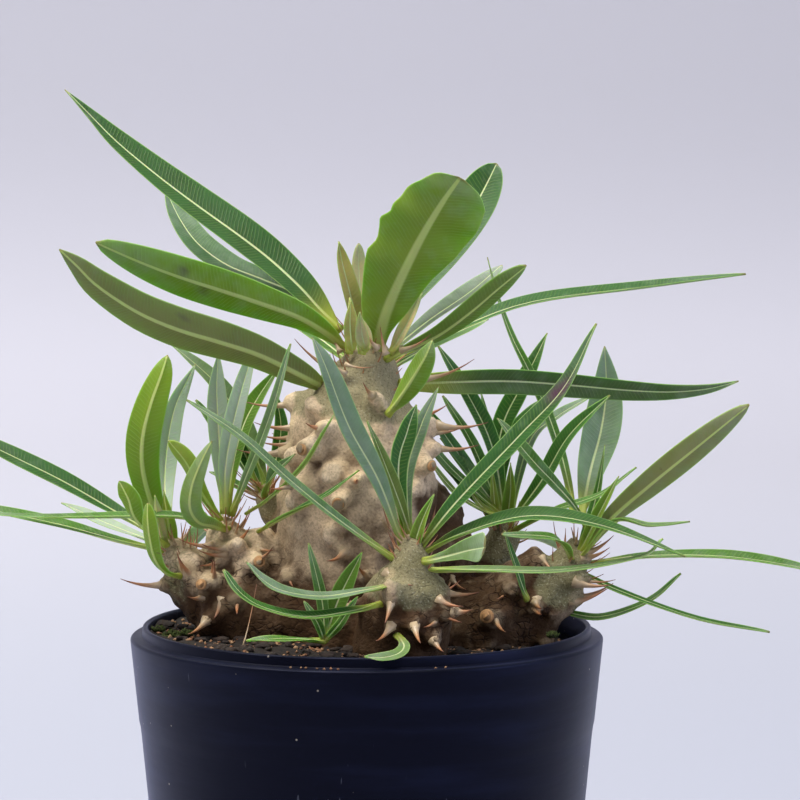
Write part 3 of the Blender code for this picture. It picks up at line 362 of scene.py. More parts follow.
        (2, (0.1, -0.9, 0.2), "young", "bronze", [(28.8, 121.1, 14), (28.3, 125.8, 12), (27.9, 131.4, 11)]),
        (6, (0, -0.4, 1), "lance", "mid", [(31, 116, 18), (38, 116, 38), (46, 112, 58)]),
    ],
    "crown_right_outer": [
        (2.8, (0.5, -0.8, 0.2), "low", "mid", [(46.3, 119.8, -1), (44.6, 129.2, 6), (42.6, 137, 10),
         (39.7, 145.2, 13), (35.9, 153.7, 15), (32.3, 160.8, 17), (29.2, 169.3, 18), (26.8, 178.7, 18)]),
        (3.4, (0.4, -0.8, 0.5), "blunt", "mid", [(49.9, 116.7, -2), (46.3, 123.1, -6), (42.1, 128, -8),
         (37.4, 132.9, -10), (33, 138.1, -10), (29, 143, -9)]),
        (6.4, (-0.2, 1, 0.1), "blunt", "greyolive", [(47, 111, -2), (54, 120, -9), (63, 128, -15),
         (74, 137, -19), (85, 146, -22)]),
        (8.6, (0, -1, 0.1), "lance", "misty", [(47.7, 120.2, 0), (49.7, 130.9, 8), (52.1, 140.3, 13),
         (53.2, 149.2, 16), (52.8, 159, 18)]),
        (2, (-0.2, -0.9, 0.2), "young", "mid", [(47, 112, 0), (51, 125, 2), (53, 137, 3)]),
        (4.5, (0, -0.3, 1), "lance", "mid", [(47, 110, -2), (61, 112, -5), (79, 112, -8), (94, 110, -10),
         (103, 108, -11)]),
        (2.4, (0, -0.35, 1), "ribbon", "deep", [(46, 109, -2), (57, 104, -7), (74, 98, -9), (90, 95, -10)]),
        (2.6, (0, -0.5, 1), "ribbon", "mid", [(42.1, 100.1, -2), (46.3, 99, -3), (51.9, 98.4, -4),
         (58.6, 100.1, -4), (64.6, 103, -4), (70.1, 108.2, -4)]),
        (2.4, (0.8, -0.6, 0.2), "ribbon", "deep", [(35.7, 102.4, -9), (34.3, 106.4, -13),
         (32.3, 112.4, -14), (30.8, 117.8, -14)]),
        (1.4, (0, -0.3, 1), "ribbon", "mid", [(47, 111, -3), (55, 120, -17), (63, 119, -22),
         (72, 120, -24)]),
        (3, (-0.5, -0.8, 0.3), "young", "young", [(47, 112, -3), (52, 122, -9), (56, 130, -11)]),
        (3.6, (0.2, -0.4, 0.9), "ribbon", "mid", [(46, 111, -3), (42, 116, -13), (30, 117, -18)]),
    ],
    "crown_back": [
        (7, (0.3, -0.8, 0.5), "lance", "mid", [(-7, 112, 27), (-9, 124, 40), (-13, 130, 58)]),
        (6, (-0.2, -0.8, 0.5), "lance", "mid", [(-7, 113, 27), (-2, 127, 36), (2, 135, 50)]),
        (6, (0, -0.3, 1), "lance", "mid", [(-6, 112, 27), (3, 118, 42), (10, 116, 62)]),
        (5, (0, -0.3, 1), "lance", "mid", [(-7, 111, 27), (-12, 114, 44), (-15, 106, 62)]),
        (5, (0.1, -1, 0.1), "lance", "mid", [(-7, 113, 27), (-9, 130, 30), (-11, 143, 34)]),
        (5, (-0.1, -1, 0.1), "lance", "mid", [(-7, 113, 27), (-2, 128, 29), (3, 142, 32)]),
    ],
    "seedling": [
        (2.5, (0, -1, 0.2), "ribbon", "mid", [(-9.5, 93, -34), (-10, 102, -34), (-13, 115, -35)]),
        (4.2, (-0.2, -1, 0.2), "lance", "lime", [(-9.5, 93, -34), (-6, 103, -33), (-1, 113, -34)]),
        (2, (0.2, -1, 0.2), "ribbon", "mid", [(-9.5, 93, -34), (-11, 97, -36), (-14, 102, -37)]),
        (2, (-0.2, -1, 0.2), "ribbon", "mid", [(-9.5, 93, -34), (-6, 97, -37), (-2, 103, -38)]),
        (2.4, (0, -0.3, 1), "ribbon", "mid", [(-9.5, 93, -34), (-18, 93.5, -37), (-27, 93, -38)]),
    ],
}

# Spines that show in outline: the middle of the wart that each one stands on, and its point.
SPINES = [
    ((-11, 146, 0), (-27, 146.6, 0)), ((-11, 140.4, -3), (-25, 142, -4)),
    ((-12, 137.5, -3), (-23.5, 137.6, -4)), ((-13, 135, -3), (-29, 136, -4)), ((8, 142, 0), (18, 146, 0)),
    ((9, 141, -2), (27, 142, -3)), ((10, 136, -3), (25, 137, -4)),
    ((-12, 128, -10), (-15, 128, -21)), ((-3, 114, -14), (-9, 111, -25)),
    ((-40, 105, -5), (-55, 107, -7)), ((-38, 106, -8), (-42, 112, -14)),
    ((-34, 105, -10), (-34, 111, -17)), ((-35, 103, -10), (-40, 103, -17)),
    ((-26, 110, -8), (-21, 114, -15)), ((-34, 99, -12), (-40, 94.5, -21)),
    ((-29, 104, -10), (-29, 99, -18)), ((6, 104, -33), (4, 97, -41)),
    ((7, 98, -32), (2, 93, -43)), ((10, 98, -33), (12, 92.5, -43)),
    ((14, 104, -29), (25, 104, -32)), ((15, 101, -29), (23, 100, -34)),
    ((27, 100, -6), (31, 95, -18)), ((37, 101, -6), (39, 99, -15)),
    ((42, 101, -3), (55, 106, -4)), ((41, 100, -4), (54, 105, -7)),
]

# Thin spines on the arms and on the front finger: where the front shows the root and the point, how far
# back each is, and the radius. They are moved back or forth until the root lies on the bark.
NEEDLES = [
    ((-36, 116, -12), (-42, 116, -16), 0.7),
    ((-30.4, 113.8, -12), (-36.7, 114.7, -17), 0.8),
    ((-30.9, 112.4, -12), (-37.3, 113.3, -17), 0.7),
    ((-40.2, 107.5, -12), (-42.4, 113.1, -15), 0.9),
    ((-32.2, 111.3, -12), (-37.3, 110, -17), 0.6),
    ((-34.4, 107.3, -12), (-34.4, 111.3, -17), 0.7),
    ((-24.6, 114, -8), (-20.6, 113.5, -12), 0.6),
    ((-28.6, 115.5, -8), (-26, 118.7, -10), 0.7),
    ((-18, 108.6, -15), (-16.4, 105.1, -19), 0.8),
    ((-30, 105.1, -15), (-28, 106.2, -17), 0.5),
    ((-32.2, 102.4, -15), (-34.2, 97.9, -18), 0.9),
    ((3.4, 108.8, -31), (10.3, 105.5, -38), 0.9),
    ((15.6, 102.4, -36), (21.4, 100.8, -40), 0.8),
    ((19, 106.8, -24), (22.1, 104.6, -28), 0.5),
    ((19, 107.3, -24), (17.6, 104.2, -26), 0.4),
    ((16.3, 99.7, -37), (21.2, 97.2, -41), 0.8),
    ((15.9, 97.9, -36), (12.7, 96.1, -40), 0.6),
    ((5.6, 118, -30), (3.6, 122.9, -32), 0.5),
    ((7, 118.4, -30), (4.7, 125.8, -30), 0.5),
    ((14.1, 118.4, -30), (15.4, 123.6, -31), 0.5),
    ((48.1, 112.2, -3), (55, 116.7, -7), 0.8),
    ((47.7, 111.3, -3), (54.1, 114, -7), 0.8),
    ((44.8, 106.4, -5), (54.8, 105.7, -9), 0.9),
    ((49.7, 105.9, -6), (55.5, 106.8, -9), 0.5),
    ((40.3, 114.7, -6), (41.9, 108.6, -10), 0.6),
    ((37.9, 102.4, -11), (38.8, 98.8, -15), 0.8),
    ((31.9, 104.6, -12), (29, 102.4, -15), 0.6),
]

# Spines that stand between the leaf stalks at the top: root, point, and radius at the root. The last row is
# a thin dry straw that stands in the soil on the left.
CROWN_NEEDLES = [
    ((2.3, 158.6, -9), (-0.4, 162.4, -12), 0.6),
    ((-4.6, 152.8, -9), (-9.3, 157, -11), 0.5),
    ((-8.2, 154.1, -8), (-16, 160.6, -9), 0.6),
    ((12.7, 151.7, -7), (23.9, 156.1, -10), 0.6),
    ((-4.8, 155, -9), (1.6, 154.4, -12), 0.35),
    ((4.2, 157.2, -9), (3, 163.2, -10), 0.6),
    ((7.8, 158.2, -6), (14.2, 161.6, -12), 0.6),
    ((-5.9, 157.7, -4), (-8, 162.6, -2), 0.5),
    ((-27.7, 91.8, -27), (-24.6, 105.8, -20), 0.16),
]

# Warts. Those of the spines in outline are cones, and a horny knob ends in a short point. The flare says how
# much of its foot's extra width a wart still has at each share of its height. The last three say where its
# pale end and the dark ring of a scar start and are full: in radii of its foot from its axis (close), and in
# radii of its top from its top (near).
CONE_FOOT = 4.4
CONE_TOP = 1.25
CONE_NEEDLE = 0.8
KNOB_FORWARD = 0.4
HORN_POINT = 3.4
HORN_LEAN = 0.6
HORN_SHARE = 0.9
WART_RADIUS = 3.7
WART_TOP = 0.85
WART_SPREAD = (0.9, 1.15)
WART_FLARE = [(0.0, 1.0), (0.25, 0.72), (0.5, 0.46), (0.75, 0.22), (1.0, 0.0)]
WART_SHARE = 0.45
WART_HEIGHT = 3.0
WART_SINK = 2.0
WART_SPACING = 2.0 * WART_RADIUS
WART_SIDES = 12
WART_CLOSE = (1.1, 0.5)
WART_NEAR = (3.4, 1.0)
SCAR_NEAR = (1.6, 1.1)

# Spines: their radii at the foot and the point, how the foot flares, how far they sag, how deep their roots
# lie, and how much of a thin spine stands in a wart of its own.
NEEDLE_RADIUS = 0.6
NEEDLE_POINT = 0.06
NEEDLE_TAPER = 1.15
NEEDLE_FLARE = 0.8
NEEDLE_FLARE_POWER = 8
NEEDLE_SIDES = 7
NEEDLE_STEPS = 6
NEEDLE_ROOT = 1.6
NEEDLE_BEND = 0.07
NEEDLE_SHARE = 0.3
NEEDLE_FOOT = 3.2
NEEDLE_SINK = 1.2

# Warts in a spiral up every stem, each with a pair of spines.
SPIRAL_TURN = radians(137.5)
SPIRAL_WANDER = 0.3
SPIRAL_STEP = 4.2
OTHER_STEM_SHARE = 0.95
PAIR_LENGTH = 6.5
PAIR_LENGTHS = (0.6, 1.1)
PAIR_SPREAD = 0.35
PAIR_RISE = Vector((0, 0, 0.15))
LOWEST_WART = 99.0
# The spiral leaves the bark's front to the spines that are listed one by one.
FRONT_FACING = -0.3

# Knobs of the bark: (across, up) where the front shows them, radius of the foot, radius of the top, height,
# how far they lean right and up, and what tops them: bare bark, horn, or the scar of a broken spine.
KNOBS = [
    (-7.7, 139.9, 3.6, 0.95, 5.4, -0.6, 0.10, "horn"),
    (-10.4, 136.7, 4.7, 1.25, 6.5, -0.5, -0.30, "scar"),
    (-13.1, 128.3, 5.1, 0.70, 6.5, -0.9, -0.25, "horn"),
    (-7.1, 130.5, 5.1, 2.20, 3.3, -0.1, 0.10, "bare"),
    (-5.7, 125.6, 4.7, 1.30, 4.4, -0.1, -0.70, "scar"),
    (-2.6, 128.9, 3.6, 0.85, 4.4, 0.1, 0.00, "horn"),
    (2.1, 145.9, 3.9, 0.80, 5.4, -0.7, 0.40, "horn"),
    (11.2, 132.5, 4.7, 1.15, 5.4, 0.1, -0.20, "scar"),
    (13.4, 135.8, 3.9, 1.60, 3.3, 0.4, 0.30, "bare"),
    (-11.3, 145.2, 4.1, 1.80, 3.0, -0.2, 0.20, "bare"),
    (-15.5, 134.5, 4.1, 2.00, 2.7, -0.2, 0.00, "bare"),
    (-15.5, 124.2, 3.9, 1.80, 2.7, -0.3, 0.00, "bare"),
    (-7.1, 116.9, 4.8, 2.20, 1.8, 0.0, 0.00, "bare"),
    (10.7, 126.9, 4.4, 2.00, 2.0, 0.2, 0.00, "bare"),
    (1.2, 134.7, 4.8, 2.20, 2.3, 0.0, 0.00, "bare"),
    (-35.3, 105.3, 4.3, 1.15, 5.4, 0.0, -0.30, "scar"),
    (-24.6, 110.2, 3.9, 1.25, 4.8, 0.0, -0.20, "scar"),
    (-29.1, 113.8, 3.2, 1.40, 4.3, 0.0, 0.00, "bare"),
    (-30.9, 101.5, 4.3, 1.90, 1.6, -0.2, -0.30, "bare"),
    (-17.7, 107.7, 4.1, 1.80, 1.8, 0.2, -0.30, "bare"),
    (-39.3, 110.2, 4.1, 1.80, 2.3, -0.2, 0.20, "bare"),
    (16.7, 99.5, 4.3, 1.00, 5.1, 0.4, 0.20, "horn"),
    (14.1, 93.9, 3.6, 0.90, 3.6, 0.0, -0.20, "horn"),
    (0.3, 107.3, 3.6, 0.80, 3.6, -0.3, 0.30, "horn"),
    (27.9, 98.6, 5.1, 1.50, 4.0, -0.5, -0.20, "scar"),
    (32.3, 104.2, 4.1, 1.80, 3.0, 0.0, 0.30, "bare"),
    (37.2, 101.9, 3.6, 0.80, 3.6, 0.2, -0.20, "horn"),
    (39.7, 94.8, 3.7, 1.00, 4.8, 0.2, -0.60, "horn"),
]

# How the bark is grown: the stems run together on a grid of the grain's size and are smoothed, and its
# hollows are what lies below a much smoother copy; how deep they lie sets the painted shade in the hollows
# and the painted highlight on the crests. Then come lumps and wrinkles, each with its size and rise.
STEM_SIDES = 24
SMOOTH_SHARE = 0.5
SMOOTH_TIMES = 7
CAVITY_TIMES = 70
LUMP_SIZE = 6.5
LUMP_RISE = 0.9
WRINKLE_SIZE = 1.7
WRINKLE_RISE = 0.16

# Where the bark changes, from not at all to fully: its distance from a tip, or its place across or up. The
# shares say how much felt is lost on the left and how much brown on the right, and how strong the cracks are.
# The brown low down is partly the bark's own colour and partly painted shade.
FELT_AWAY = (3.2, 0.5)
FELT_LESS_ACROSS, FELT_LOSS = (-20.0, -28.0), 0.45
LOW_UP = (117.0, 99.0)
LOW_LESS_ACROSS, LOW_LOSS = (6.0, 20.0), 0.35
CRACKED_UP = (118.0, 109.0)
CRACKED_RIGHT = (4.0, 16.0)
CRACKED_LEFT, CRACKED_LEFT_SHARE = (-10.0, -18.0), 0.9
CRACKED_LOW_SHARE = 0.45
# Patches of painted shade higher up the trunk, in brown: how strong they are, and where, across and up.
SHADE_PATCHES = [(0.7, (8.0, 13.0), (131.0, 125.0)), (0.38, (-13.0, -3.0), (131.0, 119.0))]

# Fine spines between the leaf stalks: how many to a tip, their radius and lengths, how far out they stand as
# a share of the tip's radius, and how far they lean out.
TIP_SPINES = 26
TIP_SPINE_RADIUS = 0.32
TIP_SPINE_LENGTH = (3.0, 7.5)
TIP_SPINE_PLACE = 0.7
TIP_SPINE_LEAN = (0.6, 1.2)

# The round face of a broken spine: how far out from the wart's top, the share of its radius, and how much of
# the orange-brown of its middle it has there.
SCAR_SIDES = 20
SCAR_FACE = [(-0.9, 1.02, 0), (-0.35, 1.05, 0), (-0.15, 0.9, 0.1), (-0.12, 0.7, 0.3), (-0.25, 0.45, 0.7),
             (-0.3, 0.1, 1.0)]

# Cushions of moss: where their middles are seen and how wide they are. Then come their leaflets: how many,
# how far they sway and lean out, their lengths, their radii from foot to point, and their sides.
MOSS = [
    (-43.6, 95.6, -12.0, 1.9), (-40.5, 95.8, -12.0, 1.4), (41.5, 95.2, -12.0, 1.1), (-46.5, 96.6, -6.0, 1.2),
]
MOSS_LEAFLETS = 90
MOSS_SWAY = 0.4
MOSS_LEAN = 0.5
MOSS_LENGTH = (0.5, 1.2)
MOSS_RADII = (0.22, 0.3, 0.05)
MOSS_SIDES = 4

# Loose grains: the size from which one gets finer faces, how dented they are and how closely, their sizes
# against the usual one, their widths against their lengths, and how far they may tilt.
COARSE_GRAIN = 1.6
GRAIN_DENTS = 0.9
GRAIN_DENT_SCALE = 2.6
GRAIN_SIZES = (0.5, 1.3)
GRAIN_WIDTHS = (0.6, 0.9)
GRAIN_TILT = 0.5
# How far to the right grains of pumice lie on the front of the pot's shoulder, how far in from its edge, and
# their size.
SHOULDER_GRAINS = (-15.4, -13.2, -12.1, -9.8, -8.3, -6.9, -5.4, 14.8, 16.9)
SHOULDER_INSET = 1.5
SHOULDER_GRAIN = 0.7

# The sweep of paper: how far it lies flat, how wide it bends and how high it stands, as shares of its radius.
PAPER_FLAT, PAPER_BEND, PAPER_WALL = 0.45, 0.35, 0.8
SWEEP_SIDES = 128

# Purple-brown blushes, by growing tip and number of the leaf: how far along the blade and how far to its
# side as shares, and their reaches along and across.
BLUSHES = {
    ("crown_front", 1): [(0.71, -0.3, 0.05, 0.8), (0.745, 0.1, 0.05, 0.8)],
    ("crown_main", 1): [(0.45, -0.7, 0.02, 0.4)],
    ("crown_main", 2): [(0.715, -0.3, 0.016, 0.25), (0.615, 0.25, 0.011, 0.15)],
    ("crown_main", 3): [(0.55, -0.6, 0.014, 0.2)],
}

# Options that many material nodes share. By number, a Map Range node's inputs are the value (0), the range
# that it comes from (1 and 2) and the range that it goes to (3 and 4). A Mix node's are the share (0) and the
# two colours (6 and 7), and the mixed colour is its output number 2.
SMOOTH = {"interpolation_type": "SMOOTHSTEP"}
TIMES = {"operation": "MULTIPLY"}
PLUS = {"operation": "ADD"}
LAYER = {"data_type": "RGBA", "out": 2}
AS_IS = None
LEAF_READINGS = ("off", "edge", "reach", "share", "warmth", "bloom", "bronze", "pick", "rib", "blush_and_shade")


def hex_colour(code):
    """An sRGB hex code such as "#80FF00" as a linear colour."""
    shares = [int(code[i:i + 2], 16) / 255 for i in (1, 3, 5)]
    return tuple(s / 12.92 if s <= 0.04045 else ((s + 0.055) / 1.055) ** 2.4 for s in shares)


def seen(across, up, back):
    """The point that stands `back` behind the middle plane where (across, up) is seen from the front."""
    return EYE + (Vector((across, 0, up)) - EYE) * ((back - EYE.y) / -EYE.y)


def smooth_line(points, steps):
    """Spots at even steps along a smooth curve through the points."""
    chain = [2 * points[0] - points[1]] + points + [2 * points[-1] - points[-2]]
    line = []
    for step in range(steps + 1):
        place = step / steps * (len(points) - 1)
        part = min(int(place), len(points) - 2)
        t = place - part
        a, b, c, d = chain[part:part + 4]
        bend = (2 * a - 5 * b + 4 * c - d) * t ** 2 + (3 * b - a - 3 * c + d) * t ** 3
        line.append(0.5 * (2 * b + (c - a) * t + bend))
    return line


def along(line, step):
    """The direction of the line at one of its spots."""
    return (line[min(step + 1, len(line) - 1)] - line[max(step - 1, 0)]).normalized()


def new_object(name, bm, *materials):
    """A smooth-shaded mesh object in metres made from a bmesh in millimetres."""
    bmesh.ops.recalc_face_normals(bm, faces=bm.faces)
    bmesh.ops.scale(bm, vec=(MM, MM, MM), verts=bm.verts)
    mesh = bpy.data.meshes.new(name)
    bm.to_mesh(mesh)
    bm.free()
    for material in materials:
        mesh.materials.append(material)
    mesh.shade_smooth()
    obj = bpy.data.objects.new(name, mesh)
    bpy.context.scene.collection.objects.link(obj)
    return obj


def finished(obj, slot, *nodes):
    """Places the piece in the frame: it stands for the nodes, which it hides. The slot is not used."""
    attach(obj, "root")
    if nodes:
        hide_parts(*nodes)
    return obj


def add_rings(bm, rings, capped=True):
    """Adds a skin through rings of points, and returns its rings of vertices."""
    loops = [[bm.verts.new(spot) for spot in ring] for ring in rings]
    size = len(rings[0])
    for low, high in zip(loops, loops[1:]):
        for i in range(size):
            j = (i + 1) % size
            bm.faces.new((low[i], low[j], high[j], high[i]))
    if capped:
        bm.faces.new(loops[0])
        bm.faces.new(loops[-1])
    return loops


def round_rings(line, radii, sides):
    """Rings of points round a line."""
    rings = []
    across = along(line, 0).orthogonal().normalized()
    for step, (spot, radius) in enumerate(zip(line, radii)):
        ahead = along(line, step)
        across = (across - ahead * across.dot(ahead)).normalized()
        up = ahead.cross(across)
        rings.append([spot + radius * (cos(a) * across + sin(a) * up)
                      for a in (2 * pi * i / sides for i in range(sides))])
    return rings


def settle(obj):
    """Turns what the object's modifiers make into its own mesh."""
    graph = bpy.context.evaluated_depsgraph_get()
    mesh = bpy.data.meshes.new_from_object(obj.evaluated_get(graph))
    obj.modifiers.clear()
    obj.data = mesh


def tree_of(obj):
    """The object's faces, ready for looking up what is near them."""
    return BVHTree.FromObject(obj, bpy.context.evaluated_depsgraph_get())


def write_readings(mesh, readings):
    """Writes a number for each point of the mesh under each name."""
    for name, values in readings.items():
        attribute = mesh.attributes.new(name, "FLOAT", "POINT")
        attribute.data.foreach_set("value", np.asarray(values, np.float32))


def new_material(name, roughness, ior):
    """A material, its node tree and its Principled BSDF."""
    material = bpy.data.materials.new(name)
    material.use_nodes = True
    shader = material.node_tree.nodes["Principled BSDF"]
    shader.inputs["Roughness"].default_value = roughness
    shader.inputs["IOR"].default_value = ior
    return material, material.node_tree, shader


def add(tree, kind, inputs=None, out=0, **options):
    """Adds a node with its options, fills its inputs with links or values, and returns one output."""
    node = tree.nodes.new("ShaderNode" + kind)
    for name, value in options.items():
        setattr(node, name, value)
    for name, value in (inputs or {}).items():
        if isinstance(value, bpy.types.NodeSocket):
            tree.links.new(value, node.inputs[name])
        else:
            node.inputs[name].default_value = value
    return node.outputs[out]


def spots(size):
    """The scale at which a noise texture's spots are about this many millimetres across."""
    return 0.7 / (size * MM)


def painted(tree, shader, base, layers):
    """Lays colours over a base one by one, gives the result to the shader and returns it.

    A layer is a mask, its span, the colour, and factors of the mask. The span says where the mask starts,
    where it is full and how much it then covers; a mask with no span is used as it is.
    """
    colour = (*base, 1.0)
    for mask, span, tint, *factors in layers:
        if span:
            start, full, most = span
            mask = add(tree, "MapRange", {0: mask, 1: start, 2: full, 4: most}, **SMOOTH)
        for factor in factors:
            mask = add(tree, "Math", {0: mask, 1: factor}, **TIMES)
        colour = add(tree, "Mix", {0: mask, 6: colour, 7: (*tint, 1.0)}, **LAYER)
    tree.links.new(colour, shader.inputs["Base Color"])
    return colour


def leaf_skin(name, look, under):
    """Waxy leaf skin: a pale midrib, fine slanting side veins, a thin pale margin and a bloom of wax.

    The upper side is dark and bluish where the bloom lies, and the underside is paler and yellower
    with a wide midrib, so the two sides of a folded blade stay apart to the eye.
    """
    base, warm, rib_tint = look.upper, look.upper_warm, look.rib
    mottle_share, vein_share, rib_share, rib_width = 0.35, 0.16, 0.9, look.rib_width
    if under:
        base, warm, rib_tint = look.underside, look.underside_warm, look.rib_under
        mottle_share, vein_share, rib_share, rib_width = 0.15, 0.4, 0.85, look.rib_width * 1.9
    material, tree, shader = new_material(name, roughness=0.42, ior=1.45)
    place = add(tree, "TexCoord", out="Object")
    off, edge, reach, share, warmth, bloom, bronze, pick, rib, blush_and_shade = [
        add(tree, "Attribute", attribute_name=reading, out="Fac") for reading in LEAF_READINGS]
    off = add(tree, "Math", {0: off}, operation="ABSOLUTE")

    mottled = add(tree, "TexNoise", {"Vector": place, "Scale": spots(5.0), "Detail": 4.0})
    wander = add(tree, "TexNoise", {"Vector": place, "Scale": spots(3.0)})
    slant = add(tree, "Math", {0: off, 1: -0.55, 2: reach}, operation="MULTIPLY_ADD")
    slant = add(tree, "Math", {0: wander, 1: 1.2, 2: slant}, operation="MULTIPLY_ADD")
    turn = add(tree, "Math", {0: slant, 1: 2 * pi * MM / look.vein_spacing}, **TIMES)
    vein = add(tree, "MapRange", {0: add(tree, "Math", {0: turn}, operation="SINE"), 1: 0.3}, **SMOOTH)
    inside = add(tree, "MapRange", {0: edge, 1: 0.1, 2: 0.8}, **SMOOTH)
    vein = add(tree, "Math", {0: vein, 1: inside}, **TIMES)
    clear = add(tree, "MapRange", {0: mottled, 1: 0.35, 2: 0.65, 3: 0.35, 4: 1.0}, **SMOOTH)
    vein = add(tree, "Math", {0: vein, 1: clear}, **TIMES)

    film = add(tree, "TexNoise", {"Vector": place, "Scale": spots(2.2), "Detail": 4.0})
    film = add(tree, "Math", {0: film, 1: 0.5, 2: bloom}, operation="MULTIPLY_ADD")
    fading = add(tree, "MapRange", {0: share, 1: 0.6, 2: 1.0, 4: 0.25}, **SMOOTH)
    film = add(tree, "Math", {0: film, 1: fading}, **PLUS)
    film = add(tree, "MapRange", {0: film, 1: 0.42, 2: 1.25})

    narrowing = add(tree, "Math", {0: share, 1: -0.75, 2: 1.0}, operation="MULTIPLY_ADD")
    half_rib = add(tree, "Math", {0: rib, 1: rib_width}, **TIMES)
    half_rib = add(tree, "Math", {0: narrowing, 1: half_rib}, **TIMES)
    rib = add(tree, "Math", {0: off, 1: half_rib}, operation="DIVIDE")
    rib = add(tree, "MapRange", {0: rib, 1: 1.15, 2: 0.55}, **SMOOTH)

    speck = add(tree, "TexNoise", {"Vector": place, "Scale": spots(1.4)})
    skin = painted(tree, shader, base, [
        (warmth, AS_IS, warm),
        (bronze, AS_IS, look.bronze),
        (mottled, (0.42, 0.72, mottle_share), look.upper_dark),
        (vein, AS_IS, look.vein, vein_share),
        (film, AS_IS, look.bloom, 0.75),
        (speck, (0.74, 0.80, 0.55), look.speck),
        # Purple-brown blushes, and on blades of the shadow tone painted shade in the same colour.
        (blush_and_shade, AS_IS, look.blush_and_shade),
        (rib, AS_IS, rib_tint, rib_share),
        (edge, (0.26, 0.06, 0.5), look.margin),
        (share, (0.24, 0.03, 0.85), look.stalk),
        (share, (0.975, 1.0, 0.75), look.speck),
    ])
    shade = add(tree, "MapRange", {0: pick, 3: 0.8, 4: 1.1})
    shade = add(tree, "CombineColor", {0: shade, 1: shade, 2: shade})
    skin = add(tree, "Mix", {0: 1.0, 6: skin, 7: shade}, blend_type="MULTIPLY", **LAYER)
    tree.links.new(skin, shader.inputs["Base Color"])

    height = add(tree, "Math", {0: vein, 1: rib}, operation="SUBTRACT")
    bump = add(tree, "Bump", {"Height": height, "Strength": 0.6, "Distance": 0.08 * MM})
    tree.links.new(bump, shader.inputs["Normal"])
    grain = add(tree, "TexNoise", {"Vector": place, "Scale": spots(0.8)})
    matt = add(tree, "Math", {0: film, 1: grain}, **PLUS)
    tree.links.new(add(tree, "MapRange", {0: matt, 3: 0.30, 4: 0.62}), shader.inputs["Roughness"])
    shader.inputs["Specular IOR Level"].default_value = 0.28
    shader.inputs["Subsurface Weight"].default_value = 0.55
    shader.inputs["Subsurface Radius"].default_value = (0.5, 1.0, 0.25)
    shader.inputs["Subsurface Scale"].default_value = 1.0 * MM
    return material


